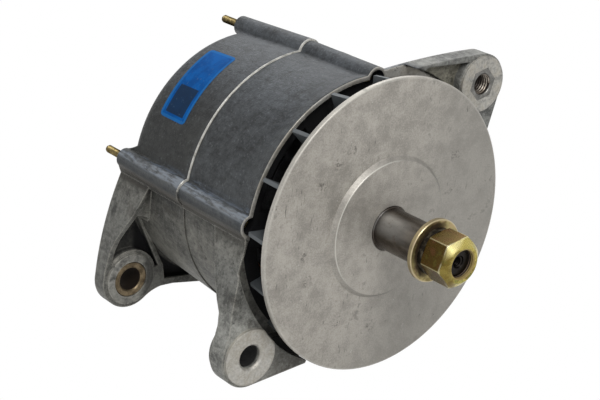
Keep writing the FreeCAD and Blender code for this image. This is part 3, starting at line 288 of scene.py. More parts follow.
def casting(name, bright, shade_and_dirt, ring_tone):
    """Cast aluminium; bright gives the machined share of each place, and the other function the share darkened
    near black, as painted shade in hollows and at dark joints.
    """
    material, place = new_finish(name)
    large = cloud(place, 34 * MM, 4.0, 0.6)
    middle = cloud(place, 6 * MM, 5.0, 0.72)
    grit = cloud(place, 1.7 * MM, 3.0, 0.75)
    streaks = cloud(place, 2.4 * MM, 3.0, 0.7, (1.0, 0.16, 1.0))
    colour = raw_casting(place, large, large * 0.25 + middle * 0.4 + grit * 0.2 + streaks * 0.15)
    specks = rise(cloud(place, 1.7 * MM, 1.0, 0.5), 0.64, 0.76)
    colour = mixed(colour, cast_pale, specks * 0.16)
    pits = rise(cloud(place, 2.6 * MM, 3.0, 0.65), 0.38, 0.28)
    colour = mixed(colour, cast_dark, pits * 0.75)
    oily_patches = rise(cloud(place, 15 * MM, 4.0, 0.7), 0.56, 0.68) * region(place, z=(40, -30))
    colour = mixed(colour, oil_and_shade_brown, oily_patches * 0.4)
    oily_foot = region(place, x=(-84, -62), y=(50, 30), z=(-66, -84)) * rise(middle, 0.32, 0.62)
    colour = mixed(colour, oil_and_shade_brown, oily_foot * 0.8)
    colour, crest = boss_marks(place, colour, middle, streaks)

    worn = rise(bright(place) + (middle - 0.5) * 0.7, 0.35, 0.65)
    tone = mixed(machined, ring_tone, rise(large * 0.5 + middle * 0.5, 0.38, 0.60))
    tone = times(tone, 0.86 + 0.28 * rise(grit, 0.35, 0.65))
    glint = band(xyz(place)[1], joint - 0.4 * MM, joint + 0.7 * MM, 0.2 * MM) * region(place, z=(8, 16))
    colour = mixed(colour, mixed(tone, seam_glint, glint * rise(middle, 0.34, 0.56) * 0.8), worn)
    # Near black: painted shade in hollows, and dark joints.
    shade_and_dirt_share = shade_and_dirt(place)
    colour = mixed(colour, dirt_and_shade_black, shade_and_dirt_share)
    roughness = 0.56 + 0.24 * (middle - 0.5) + 0.1 * (grit - 0.5) - 0.14 * worn - 0.12 * crest + 0.3 * shade_and_dirt_share
    metallic = (0.18 + 0.3 * worn) * (1 - shade_and_dirt_share)
    height = (grit + 0.5 * middle + 0.3 * streaks) * (1 - 0.8 * worn) + pits * -0.5
    bare_edges = rise(middle, 0.30, 0.54) * (1 - shade_and_dirt_share) * (0.75 - 0.66 * region(place, z=(3, 13)))
    surface(place, colour, roughness, metallic, height, 0.34 * MM, 1.6 * MM, (worn_edge, bare_edges),
            **{"Specular IOR Level": 0.3})
    return material


def ring_face(place, centre, ring, face):
    """The machined ring round a hole, down to its raised face."""
    return rise(distance_from_axis(place, centre), ring + 0.3 * MM, ring) \
        * rise(xyz(place)[1], face + 0.2 * MM, face)


def front_bright(place):
    y = xyz(place)[1]
    radius = distance_from_axis(place)
    rim = rise(y, rim_front + 0.5 * MM, rim_front + 0.2 * MM) * region(place, z=(-12, 8)) \
        * rise(radius, rim_inside - 0.6 * MM, rim_inside) \
        * rise(radius, rim_outside + 9.0 * MM, rim_outside + 4.0 * MM)
    seam = rise(y, joint - joint_band - 0.3 * MM, joint - joint_band) * region(place, z=(6, 14))
    foot_face = ring_face(place, foot, foot_ring, foot_ring_face)
    return 0.8 * rim + 0.9 * seam + foot_face + 0.56 * ring_face(place, ear, ear_ring, ear_ring_face)


def front_shade_and_joint(place):
    # Painted shade in the air chamber inside the rim, the front foot's bore and the ledge below the rim; the
    # seam is the dark joint below the left boss.
    y = xyz(place)[1]
    chamber = rise(distance_from_axis(place), rim_inside, rim_inside - 0.4 * MM) \
        * rise(y, rim_front, rim_front + 1.0 * MM)
    bore = rise(distance_from_axis(place, foot), foot_bore + 0.2 * MM, foot_bore) \
        * rise(y, foot_ring_face + 0.5 * MM, foot_ring_face + 3.0 * MM)
    ledge = region(place, radius=(103.4, 101.8), z=(-55, -66)) * region(place, radius=(95, 96)) \
        * band(y, rim_front - 0.2 * MM, rim_front + 0.2 * MM, 0.4 * MM)
    seam = rise(y, joint - 0.5 * MM, joint - 0.2 * MM) * region(place, z=(8, -2)) * 0.6
    return rise(chamber + 0.85 * bore + 0.85 * ledge + seam, 0.0, 1.0)


paint(casting("cast_aluminium_front", front_bright, front_shade_and_joint, ring_tan), "drive_end_shield")


# Slip ring end shield: the same casting at the other end, with the rear foot, the air windows and the collar
# round the slip rings. Its edge at the joint stands proud and is machined bright, like the foot's ring.
rear_foot = mounts["rear_foot_bush_bore"]
rear_ring = 18.6 * MM
rear_ring_face = 158.2 * MM
rear_inside = 86.9 * MM
rear_wall_inside = 162.0 * MM
rear_ring_grey = (0.27, 0.265, 0.235, 1.0)


def rear_bright(place):
    seam = rise(xyz(place)[1], joint + joint_band + 0.2 * MM, joint + joint_band - 0.1 * MM) \
        * region(place, z=(4, 12))
    return 1.1 * seam + 0.5 * ring_face(place, rear_foot, rear_ring, rear_ring_face)


def rear_shade_grime_and_joint(place):
    # Painted shade inside the shield behind its wall and in the recess by the rear foot, with grime by the
    # foot's ring and the dark joint.
    y = xyz(place)[1]
    inside = rise(distance_from_axis(place), rear_inside, rear_inside - 0.5 * MM) \
        * rise(y, rear_wall_inside + 0.3 * MM, rear_wall_inside)
    recess = region(place, x=(-107, -102), y=(159, 162), z=(-14, -30), radius=(91, 94)) \
        * region(place, y=(167, 165)) * (0.55 + 0.45 * region(place, x=(-88, -80)))
    ring_grime = region(place, x=(-84, -76), y=(160, 158)) \
        * rise(distance_from_axis(place, rear_foot), rear_ring + 0.9 * MM, rear_ring + 0.2 * MM)
    seam = rise(y, joint + 0.6 * MM, joint + 0.2 * MM) * region(place, z=(8, -2)) * 0.4
    return rise(inside + 1.15 * recess + seam + 0.6 * ring_grime, 0.0, 1.0)


paint(casting("cast_aluminium_rear", rear_bright, rear_shade_grime_and_joint, rear_ring_grey), "slip_ring_end_shield")


# Fan: a turned aluminium casting. The disc's face is satin and handled, with dark smudges, short scratches and
# pale chips, and painted shade towards its right. Its rim is worn bright, the edge of its hub plateau carries a
# painted highlight on its left and the slope below it painted shade, and the blades behind it stay as cast,
# painted dark as shade towards the hub.
disc_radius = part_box("fan")[1].x
disc_front = 3.0 * MM
disc_back = 6.3 * MM
turning_pitch = 0.9 * MM
plateau_front = 0.0
plateau_radius = 46.0 * MM
plateau_foot = 48.6 * MM
scuff_circle = 69.0 * MM
scuff_angles = (37.0, 123.0, 134.0, 148.0, 187.0, 202.0, 239.0, 266.0)

disc_dark = (0.257, 0.240, 0.211, 1.0)
disc_light = (0.442, 0.413, 0.366, 1.0)
disc_shade = (0.236, 0.227, 0.205, 1.0)
disc_smudge = (0.15, 0.142, 0.128, 1.0)
disc_scratch = (0.055, 0.05, 0.046, 1.0)
disc_scuff = (0.10, 0.09, 0.08, 1.0)
disc_dent = (0.07, 0.066, 0.06, 1.0)
disc_chip = (0.60, 0.58, 0.54, 1.0)
disc_blemish = (0.075, 0.068, 0.058, 1.0)
slope_shade = (0.14, 0.135, 0.123, 1.0)
lip_highlight_and_rim_wear = (0.62, 0.60, 0.54, 1.0)
blade_dark = (0.07, 0.08, 0.085, 1.0)
blade_light = (0.14, 0.15, 0.155, 1.0)


def handled_disc(place, middle, grit):
    """Colour of the disc's face, with the shares of its smudges and scratches."""
    x, y, z = xyz(place)
    tone = cloud(place, 45 * MM, 4.0, 0.6) * 0.3 + middle * 0.4 + grit * 0.3
    colour = mixed(disc_dark, disc_light, rise(tone, 0.36, 0.64))
    # Painted shade: the disc darkens towards +x and downwards.
    colour = mixed(colour, disc_shade, rise(x - z * 0.4, -40 * MM, 70 * MM) * 0.58)
    smudge = rise(middle, 0.57, 0.70) * rise(cloud(place, 50 * MM, 2.0), 0.44, 0.58)
    colour = mixed(colour, disc_smudge, smudge * 0.6)
    dents = rise(cloud(place, 5 * MM, 3.0, 0.6), 0.68, 0.76) * rise(cloud(place, 40 * MM, 1.0), 0.48, 0.56)
    colour = mixed(colour, disc_dent, dents * 0.85)
    scratch = rise(cloud(place, 2.2 * MM, 2.0, 0.5, (2.6, 1.0, 0.3)), 0.66, 0.74) \
        * rise(cloud(place, 30 * MM, 2.0), 0.50, 0.60)
    colour = mixed(colour, disc_scratch, scratch * 0.75)
    scuff = rise(cloud(place, 1.6 * MM, 2.0, 0.5, (0.35, 1.0, 1.6)), 0.68, 0.76) \
        * rise(cloud(place, 26 * MM, 2.0, 0.5, (1.0, 3.0, 1.0)), 0.54, 0.64)
    colour = mixed(colour, disc_scuff, scuff * 0.6)
    chips = rise(cloud(place, 2.0 * MM, 1.0, 0.5), 0.76, 0.82)
    colour = mixed(colour, disc_chip, chips * 0.5)
    marks = 0.0
    for angle in map(math.radians, scuff_angles):
        spot = (scuff_circle * math.cos(angle), 0.0, scuff_circle * math.sin(angle))
        marks = marks + rise(distance_from_axis(place, spot), 6.0 * MM, 2.0 * MM)
    blemish = marks * rise(cloud(place, 2.8 * MM, 4.0, 0.7), 0.49, 0.62)
    return mixed(colour, disc_blemish, blemish * 0.7), smudge, scratch


def fan_aluminium():
    material, place = new_finish("fan_aluminium")
    x, y, z = xyz(place)
    radius = distance_from_axis(place)
    middle = cloud(place, 11 * MM, 5.0, 0.68)
    grit = cloud(place, 0.9 * MM, 2.0, 0.6)
    colour, smudge, scratch = handled_disc(place, middle, grit)
    slope = band(radius, plateau_radius - 0.1 * MM, plateau_foot - 0.4 * MM, 0.3 * MM) \
        * rise(y, disc_front + 0.1 * MM, disc_front - 0.2 * MM)
    # Painted shade on the slope up to the hub plateau, stronger on its upper right.
    turned_up = rise(z + 0.7 * x, -20 * MM, 25 * MM)
    colour = mixed(colour, slope_shade, slope * (0.16 + 0.2 * turned_up))
    lip = band(radius, plateau_radius - 0.3 * MM, plateau_radius + 0.1 * MM, 0.3 * MM) \
        * rise(y, disc_front, plateau_front)
    # Painted highlight on the plateau's edge on its left; the disc's rim is worn bright.
    facing_light = rise(z * 0.5 - x, 12 * MM, 38 * MM)
    rim = rise(radius, disc_radius - 1.6 * MM, disc_radius - 0.8 * MM) \
        * rise(y, disc_back + 0.2 * MM, disc_back)
    colour = mixed(colour, lip_highlight_and_rim_wear, 0.7 * lip * facing_light + 0.25 * rim)
    behind = rise(y, disc_back - 0.1 * MM, disc_back + 0.2 * MM)
    colour = mixed(colour, mixed(blade_dark, blade_light, middle), behind)
    # Painted shade: the blades behind the disc go near black towards the hub.
    colour = mixed(colour, dirt_and_shade_black, region(place, radius=(86, 68)) * behind)
    turning = place.math("SINE", radius * (math.tau / turning_pitch))
    roughness = 0.5 + 0.2 * (middle - 0.5) + 0.12 * smudge + 0.1 * behind - 0.08 * slope
    height = grit + 0.1 * turning * (1 - behind) - 0.6 * scratch + 0.4 * middle
    surface(place, colour, roughness, 0.45 - 0.15 * behind, height, 0.1 * MM, 0.4 * MM)
    return material


paint(fan_aluminium(), "fan")


# Shaft: one turned steel bar. The pulley's seat is ground and has gone brownish, and the rest runs inside. The
# front end's thread is bump only, because the nut slides off over it.
shaft_thread_end = -39.2 * MM
shaft_pitch = 1.5 * MM
grinding_pitch = 0.35 * MM

seat_dark = (0.060, 0.048, 0.037, 1.0)
seat_light = (0.175, 0.15, 0.122, 1.0)
seat_highlight = (0.50, 0.50, 0.49, 1.0)
seat_rust = (0.10, 0.055, 0.03, 1.0)
seat_grime = (0.05, 0.04, 0.033, 1.0)
thread_shade_black = (0.010, 0.008, 0.007, 1.0)


def screw_thread(place):
    """Height of the shaft's right-hand thread."""
    x, y, z = xyz(place)
    return place.math("SINE", y * (math.tau / shaft_pitch) + x.math("ARCTAN2", z, x))


def shaft_finish():
    material, place = new_finish("shaft_steel")
    x, y, z = xyz(place)
    drift = cloud(place, 9 * MM, 3.0, 0.55, (1.0, 0.35, 1.0))
    fine = cloud(place, 1.0 * MM, 2.0, 0.6)
    colour = mixed(seat_dark, seat_light, rise(drift, 0.36, 0.64))
    # Painted highlight: a light band along the upper left of the seat.
    seat_highlight_band = rise(z * 0.72 - x * 0.69, 7.5 * MM, 13.5 * MM) * rise(z * 0.95 + x * 0.3, 12.6 * MM, 8 * MM) \
        * region(place, y=(-38, -12))
    colour = mixed(colour, seat_highlight, seat_highlight_band * (0.35 + 0.45 * drift))
    rusty = rise(cloud(place, 6 * MM, 4.0, 0.7), 0.56, 0.72)
    colour = mixed(colour, seat_rust, rusty * 0.45)
    near_fan = region(place, y=(-7, 0))
    colour = mixed(colour, seat_grime, near_fan * 0.55)
    # Painted shade: the threaded end inside the nut goes near black.
    threaded = rise(y, shaft_thread_end + 0.3 * MM, shaft_thread_end)
    colour = mixed(colour, thread_shade_black, threaded * 0.96)
    grinding = place.math("SINE", y * (math.tau / grinding_pitch))
    height = (fine * 0.12 + 0.03 * grinding) * (1 - threaded) + screw_thread(place) * threaded * 0.5
    surface(place, colour, 0.3 + 0.12 * (fine - 0.5) + 0.18 * rusty, 0.85, height, 0.4 * MM, 0.25 * MM)
    return material


paint(shaft_finish(), "shaft")


# Pulley fastening: plain washer, split spring washer and hexagon nut, yellow zinc plated. Each flat of the nut
# has taken its own tone of gold, olive or pinkish brown, placed so that the upper flats come out lighter as
# painted light. The corners and the chamfer are bright, the chamfer with a painted highlight above and painted
# shade on its left, the nut's bore is painted dark as shade but for its mouth, and the washers are black with
# old grease where they meet.
nut_bore = 9.5 * MM
nut_front, nut_back = (corner.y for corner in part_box("pulley_nut"))
nut_chamfer = 4.2 * MM
nut_turn = 12.0
flat_spacing = 60.0
washer_radius = 21.0 * MM

flat_brown = (0.092, 0.056, 0.011, 1.0)
flat_gold = (0.200, 0.134, 0.038, 1.0)
flat_pink = (0.19, 0.075, 0.04, 1.0)
flat_olive = (0.15, 0.14, 0.03, 1.0)
chamfer_dark = (0.20, 0.15, 0.028, 1.0)
chamfer_gold = (0.46, 0.38, 0.10, 1.0)
chamfer_green = (0.19, 0.23, 0.06, 1.0)
chamfer_glint = (0.74, 0.66, 0.30, 1.0)
chamfer_shade = (0.115, 0.072, 0.012, 1.0)
corner_bright = (0.62, 0.56, 0.33, 1.0)
chamfer_edge = (0.66, 0.62, 0.42, 1.0)
nut_grime = (0.03, 0.022, 0.015, 1.0)
bore_dark = (0.012, 0.009, 0.007, 1.0)
bore_brown = (0.16, 0.10, 0.055, 1.0)
bore_mouth = (0.40, 0.29, 0.095, 1.0)
washer_dark = (0.17, 0.125, 0.035, 1.0)
washer_light = (0.40, 0.33, 0.145, 1.0)
washer_pink = (0.42, 0.27, 0.17, 1.0)
washer_rim = (0.56, 0.47, 0.31, 1.0)
old_grease = (0.030, 0.016, 0.007, 1.0)
spring_dark = (0.012, 0.009, 0.006, 1.0)
spring_light = (0.10, 0.085, 0.06, 1.0)


def nut_plating():
    material, place = new_finish("nut_plating")
    x, y, z = xyz(place)
    radius = distance_from_axis(place)
    drift = cloud(place, 7 * MM, 3.0, 0.6)
    tint = cloud(place, 5 * MM, 2.0, 0.5)
    fine = cloud(place, 0.8 * MM, 2.0, 0.6)
    turn = degrees_around(place) * (1 / flat_spacing) + (360.0 - nut_turn) / flat_spacing
    flat = turn.math("FLOOR", turn)
    # Each flat's tone is partly random and partly painted light: the offset puts lighter tones on the upper
    # flats.
    tone = place.step("ShaderNodeTexWhiteNoise", {"noise_dimensions": "1D"}, {"W": flat * 1.7 + 0.6})
    colour = mixed(flat_brown, flat_gold, tone)
    colour = mixed(colour, flat_pink, rise(tint, 0.50, 0.70) * 0.4)
    colour = mixed(colour, flat_olive, rise(tint, 0.46, 0.30) * 0.4)
    chamfer = mixed(chamfer_dark, chamfer_gold, rise(drift, 0.40, 0.60))
    chamfer = mixed(chamfer, chamfer_green, rise(tint, 0.45, 0.33) * 0.5)
    chamfer = mixed(chamfer, chamfer_glint, rise(z * 0.8 - x * 0.6, 11.0 * MM, 14.0 * MM) * 0.8)
    chamfer = mixed(chamfer, chamfer_shade, rise(x + 0.3 * z, -6 * MM, -12 * MM) * 0.65)
    front = rise(y, nut_front + nut_chamfer + 0.4 * MM, nut_front + nut_chamfer - 0.3 * MM)
    colour = mixed(colour, chamfer, front)
    within = turn.math("FRACT", turn) - 0.5
    corner = rise(within.math("ABSOLUTE", within), 0.465, 0.495) * rise(y, nut_back, nut_back - 1.0 * MM)
    colour = mixed(colour, corner_bright, corner * (1 - front) * 0.75)
    edge = band(y, nut_front + nut_chamfer - 0.5 * MM, nut_front + nut_chamfer + 0.2 * MM, 0.4 * MM)
    colour = mixed(colour, chamfer_edge, edge * 0.5 * region(place, radius=(15.0, 15.6)))
    grime = rise(cloud(place, 2.8 * MM, 4.0, 0.7), 0.62, 0.72)
    colour = mixed(colour, nut_grime, grime * 0.45)
    inside = rise(radius, nut_bore + 0.9 * MM, nut_bore + 0.4 * MM)
    turns = screw_thread(place)
    # Painted shade: the bore goes dark further in and is light only at its mouth.
    mouth = rise(y, nut_front + 3.4 * MM, nut_front + 1.6 * MM)
    bore = mixed(mixed(bore_dark, bore_brown, rise(turns, 0.2, 0.9)), bore_mouth, mouth * 0.8)
    colour = mixed(colour, bore, inside)
    height = fine * 0.06 * (1 - inside) + turns * inside
    roughness = 0.28 + 0.1 * (fine - 0.5) + 0.2 * grime + 0.35 * inside
    surface(place, colour, roughness, 0.85 - 0.7 * inside, height, 0.2 * MM, 0.3 * MM)
    return material


def washer_plating():
    material, place = new_finish("washer_plating")
    x, y, z = xyz(place)
    radius = distance_from_axis(place)
    drift = cloud(place, 8 * MM, 3.0, 0.6)
    tint = cloud(place, 6 * MM, 2.0, 0.5)
    fine = cloud(place, 0.8 * MM, 2.0, 0.6)
    colour = mixed(washer_dark, washer_light, rise(drift, 0.36, 0.62))
    colour = mixed(colour, washer_pink, rise(tint, 0.54, 0.68) * 0.5)
    colour = mixed(colour, washer_rim, rise(radius, washer_radius - 1.3 * MM, washer_radius - 0.5 * MM) * 0.6)
    greasy = rise(radius + (drift - 0.5) * 6 * MM, 20.2 * MM, 17.0 * MM) * rise(x - z * 0.35, 6 * MM, -8 * MM)
    colour = mixed(colour, old_grease, greasy * 0.94)
    roughness = 0.3 + 0.1 * (fine - 0.5) + 0.4 * greasy
    surface(place, colour, roughness, 0.8 - 0.1 * greasy, fine, 0.03 * MM, 0.3 * MM)
    return material


def spring_washer_plating():
    material, place = new_finish("spring_washer_plating")
    drift = cloud(place, 5 * MM, 3.0, 0.6)
    fine = cloud(place, 0.8 * MM, 2.0, 0.6)
    colour = mixed(spring_dark, spring_light, rise(drift, 0.46, 0.70))
    surface(place, colour, 0.45 + 0.2 * (fine - 0.5), 0.6, fine, 0.04 * MM, 0.3 * MM)
    return material


paint(nut_plating(), "pulley_nut")
paint(washer_plating(), "pulley_washer")
paint(spring_washer_plating(), "pulley_spring_washer")


# Through screws: steel in the same plating, faded to a dull brass. The thread on the ends that stand out behind
# is rolled: one ridge wound round each shank, which is darker brown between the turns.
screw_thread_start = 172.4 * MM
screw_thread_length = 18.6 * MM
screw_radius = 2.5 * MM
screw_pitch = 0.8 * MM
ridge_share = 0.36
screw_circle = 92.0 * MM
screw_angles = (90.0, 176.0, 270.0, 356.0)
along_y = (math.radians(-90.0), 0.0, 0.0)

brass_dark = (0.075, 0.056, 0.022, 1.0)
brass_light = (0.235, 0.180, 0.075, 1.0)
root_brown = (0.05, 0.036, 0.018, 1.0)


def screw_brass(name, root_darkening):
    material, place = new_finish(name)
    drift = cloud(place, 5 * MM, 3.0, 0.6)
    fine = cloud(place, 0.8 * MM, 2.0, 0.6)
    colour = mixed(brass_dark, brass_light, rise(drift, 0.34, 0.64))
    rolled = rise(xyz(place)[1], screw_thread_start, screw_thread_start + 0.5 * MM)
    colour = mixed(colour, root_brown, rolled * root_darkening)
    surface(place, colour, 0.34 + 0.2 * (drift - 0.5), 0.85, fine, 0.02 * MM)
    return material


def wound_wire_tree():
    """Node tree that winds a wire of round or diamond section into a helix, and stands one on each point."""
    tree = bpy.data.node_groups.new("wound_wire", "GeometryNodeTree")
    kinds = {"Places": "Geometry", "Turns": "Float", "Radius": "Float", "Length": "Float", "Wire": "Float",
             "Steps": "Int", "Sides": "Int", "Lean": "Rotation", "Finish": "Material"}
    for name, kind in kinds.items():
        tree.interface.new_socket(name, in_out="INPUT", socket_type="NodeSocket" + kind)
    tree.interface.new_socket("Wound", in_out="OUTPUT", socket_type="NodeSocketGeometry")
    sources = tree.nodes.new("NodeGroupInput").outputs
    given = {name: Field(tree, sources[name]) for name in kinds}
    start = given["Places"]
    helix = start.step("GeometryNodeCurveSpiral", inputs={
        "Resolution": given["Steps"], "Rotations": given["Turns"], "Start Radius": given["Radius"],
        "End Radius": given["Radius"], "Height": given["Length"]})
    helix = helix.step("GeometryNodeSetCurveNormal", {"mode": "Z_UP"}, {"Curve": helix})
    section = helix.step("GeometryNodeCurvePrimitiveCircle", inputs={
        "Resolution": given["Sides"], "Radius": given["Wire"]})
    wire = helix.step("GeometryNodeCurveToMesh", inputs={
        "Curve": helix, "Profile Curve": section, "Fill Caps": True})
    wire = wire.step("GeometryNodeTransform", inputs={"Geometry": wire, "Rotation": given["Lean"]})
    placed = wire.step("GeometryNodeInstanceOnPoints", inputs={"Points": start, "Instance": wire})
    real = placed.step("GeometryNodeRealizeInstances", inputs={"Geometry": placed})
    done = real.step("GeometryNodeSetMaterial", inputs={"Geometry": real, "Material": given["Finish"]})
    tree.links.new(done.socket, tree.nodes.new("NodeGroupOutput").inputs[0])
    return tree


def wound(name, places, **sizes):
    """Plain mesh piece of one helix on each place."""
    mesh = bpy.data.meshes.new(name + "_places")
    mesh.from_pydata(places, [], [])
    piece = bpy.data.objects.new(name, mesh)
    bpy.context.scene.collection.objects.link(piece)
    modifier = piece.modifiers.new("wound", "NODES")
    modifier.node_group = wound_wire
    for socket in wound_wire.interface.items_tree:
        if socket.name in sizes:
            modifier[socket.identifier] = sizes[socket.name]
    made = bpy.data.meshes.new_from_object(piece.evaluated_get(bpy.context.evaluated_depsgraph_get()))
    piece.modifiers.clear()
    made.shade_smooth()
    made.set_sharp_from_angle(angle=math.radians(50))
    piece.data = made
    return piece


paint(screw_brass("screw_brass", 0.7), "through_screws")
wound_wire = wound_wire_tree()
screw_places = [(screw_circle * math.cos(angle), screw_thread_start, screw_circle * math.sin(angle))
                for angle in map(math.radians, screw_angles)]
screw_turns = wound("through_screw_threads", screw_places, Turns=screw_thread_length / screw_pitch,
                    Radius=screw_radius, Length=screw_thread_length, Wire=ridge_share * screw_pitch,
                    Steps=20, Sides=4, Lean=along_y, Finish=screw_brass("screw_thread_brass", 0.0))
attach(screw_turns, "housing")


# Bush and thread insert: the rear foot's sliding steel sleeve has rusted bronze brown, and the ear's hexagonal
# steel insert is brownish too. Its thread is a wound ridge, bright at the mouth and painted black further in as
# shade, and the bores of both are painted dark as shade.
insert_front, insert_back = (corner.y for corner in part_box("ear_thread_insert"))
insert_bore = 6.92 * MM
insert_pitch = 2.0 * MM
insert_ridge_share = 0.32
insert_ridge_radius = insert_bore + 0.1 * MM
insert_mouth = 1.1 * MM
insert_bright_depth = 3.0 * MM
insert_black_depth = 9.5 * MM
insert_turns_length = insert_back - insert_front - 2 * insert_mouth
bush_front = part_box("rear_foot_bush")[0].y
bush_outside = (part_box("rear_foot_bush")[1].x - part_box("rear_foot_bush")[0].x) / 2
bush_bore = 8.0 * MM
bush_length = 22.0 * MM
bush_back = bush_front + bush_length
bush_mouth = 1.2 * MM
bush_corner = 0.6 * MM
bush_sides = 96

bush_dark = (0.075, 0.055, 0.032, 1.0)
bush_light = (0.22, 0.17, 0.105, 1.0)
insert_dark = (0.125, 0.122, 0.113, 1.0)
insert_light = (0.235, 0.230, 0.214, 1.0)
rust_spots = (0.06, 0.04, 0.025, 1.0)
bore_shade_dark = (0.016, 0.011, 0.008, 1.0)
turns_dark = (0.15, 0.12, 0.092, 1.0)
turns_light = (0.40, 0.355, 0.30, 1.0)
turns_shade_black = (0.02, 0.014, 0.01, 1.0)


def bored_steel(name, dark, light, centre, bore, shade_and_dirt_share):
    """Steel with rust spots, and its bore darkened by the given share as painted shade."""
    material, place = new_finish(name)
    drift = cloud(place, 6 * MM, 4.0, 0.6)
    fine = cloud(place, 1.0 * MM, 2.0, 0.6)
    colour = mixed(dark, light, rise(drift * 0.7 + fine * 0.3, 0.36, 0.64))
    spots = rise(cloud(place, 3.5 * MM, 4.0, 0.7), 0.56, 0.70)
    colour = mixed(colour, rust_spots, spots * 0.5)
    inside = rise(distance_from_axis(place, centre), bore + 0.5 * MM, bore + 0.15 * MM)
    colour = mixed(colour, bore_shade_dark, inside * shade_and_dirt_share)
    roughness = 0.4 + 0.2 * (drift - 0.5) + 0.15 * spots + 0.4 * inside
    surface(place, colour, roughness, 0.7 - 0.7 * inside, fine, 0.04 * MM, 0.3 * MM,
            **{"Specular IOR Level": 0.08})
    return material


def thread_steel(black_from, bright_to):
    material, place = new_finish("thread_steel")
    drift = cloud(place, 4 * MM, 3.0, 0.6)
    colour = mixed(turns_dark, turns_light, rise(drift, 0.36, 0.62))
    # Painted shade: the ridge goes black further into the insert.
    colour = mixed(turns_shade_black, colour, rise(xyz(place)[1], black_from, bright_to))
    surface(place, colour, 0.4 + 0.2 * (drift - 0.5), 0.6, drift, 0.03 * MM)
    return material


def turned_ring(name, profile, centre, sides):
    """Closed ring about an axis along Y through centre, from a closed profile of radius and y."""
    mesh = bpy.data.meshes.new(name)
    made = bmesh.new()
    rings = []
    for i in range(sides):
        across, up = math.cos(math.tau * i / sides), math.sin(math.tau * i / sides)
        rings.append([made.verts.new((centre.x + radius * across, y, centre.z + radius * up))
                      for radius, y in profile])
    for i, ring in enumerate(rings):
        beyond = rings[(i + 1) % sides]
        for j in range(len(profile)):
            k = (j + 1) % len(profile)
            made.faces.new((ring[j], ring[k], beyond[k], beyond[j])).smooth = True
    bmesh.ops.recalc_face_normals(made, faces=made.faces)
    made.to_mesh(mesh)
    made.free()
    mesh.set_sharp_from_angle(angle=math.radians(30))
    return bpy.data.objects.new(name, mesh)


bush_steel = bored_steel("bush_steel", bush_dark, bush_light, rear_foot, bush_bore, 0.97)
paint(bored_steel("insert_steel", insert_dark, insert_light, ear, insert_bore, 0.93), "ear_thread_insert")
ear_turns = wound("ear_thread_turns", [(ear.x, insert_front + insert_mouth, ear.z)],
                  Turns=insert_turns_length / insert_pitch, Radius=insert_ridge_radius,
                  Length=insert_turns_length, Wire=insert_ridge_share * insert_pitch, Steps=48, Sides=4,
                  Lean=along_y, Finish=thread_steel(insert_front + insert_black_depth,
                                                    insert_front + insert_bright_depth))
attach(ear_turns, "housing")

sleeve = turned_ring("rear_foot_sleeve", [
    (bush_bore + bush_mouth, bush_front),
    (bush_outside - bush_corner, bush_front),
    (bush_outside, bush_front + bush_corner),
    (bush_outside, bush_back - bush_corner),
    (bush_outside - bush_corner, bush_back),
    (bush_bore + bush_mouth, bush_back),
    (bush_bore, bush_back - bush_mouth),
    (bush_bore, bush_front + bush_mouth),
], rear_foot, bush_sides)
bpy.context.scene.collection.objects.link(sleeve)
sleeve.data.materials.append(bush_steel)
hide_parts("rear_foot_bush")
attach(sleeve, "foot_bush")


# Bearings, retainer and spacers: the rings are ground bearing steel and the cages are pressed steel with
# polished balls. The retainer plate, the fan's spacer and the rectifier's standoffs are plain steel.
steel_stain = (0.05, 0.035, 0.025, 1.0)


def steel(name, dark, light, roughness, stained=0.3, metallic=0.85, turned=0.0):
    """Plain steel, with stains, and lathe marks where turned gives their pitch."""
    material, place = new_finish(name)
    large = cloud(place, 14 * MM, 4.0, 0.6)
    fine = cloud(place, 1.2 * MM, 2.0, 0.6)
    colour = mixed(dark, light, rise(large * 0.7 + fine * 0.3, 0.35, 0.65))
    spots = rise(cloud(place, 5 * MM, 4.0, 0.7), 0.56, 0.7)
    colour = mixed(colour, steel_stain, spots * stained)
    height = fine
    if turned:
        height = fine + 0.25 * place.math("SINE", xyz(place)[1] * (math.tau / turned))
    roughness = roughness + 0.15 * (fine - 0.5) + 0.15 * spots
    surface(place, colour, roughness, metallic, height, 0.03 * MM, 0.25 * MM)
    return material


ring_steel = steel("bearing_steel", (0.42, 0.42, 0.43, 1.0), (0.62, 0.62, 0.63, 1.0), 0.2,
                   stained=0.08, turned=0.2 * MM)
cage_steel = steel("cage_steel", (0.45, 0.45, 0.45, 1.0), (0.66, 0.66, 0.67, 1.0), 0.16, stained=0.05)
plain_steel = steel("plain_steel", (0.24, 0.24, 0.245, 1.0), (0.42, 0.42, 0.43, 1.0), 0.4)
paint(ring_steel, "front_bearing_inner_race", "front_bearing_outer_race", "rear_bearing_inner_race",
      "rear_bearing_outer_race")
paint(cage_steel, "front_bearing_cage", "rear_bearing_cage")
paint(plain_steel, "bearing_retainer", "fan_spacer", "rectifier_standoffs")


# Small screws, studs and nuts: headed and turned steel with clear zinc plating gone dull. They hold the
# retainer, the brush holder, the regulator and the rectifier, and the studs stand out behind as terminals.
clear_zinc = steel("clear_zinc", (0.22, 0.222, 0.225, 1.0), (0.42, 0.425, 0.435, 1.0), 0.34, stained=0.2)
paint(clear_zinc, "retainer_screws", "brush_holder_screws", "regulator_screws", "rectifier_screws",
      "terminal_nuts", "positive_terminal", "negative_terminal", "signal_terminal")


# Stator and field coil: a stack of thin varnished steel sheets held between the shields, and enamelled copper
# wire, wound through the sheets' slots and, finer, on the rotor's bobbin.
sheet_thickness = 1.0 * MM
sheet_dark = (0.07, 0.07, 0.075, 1.0)
sheet_light = (0.16, 0.155, 0.15, 1.0)


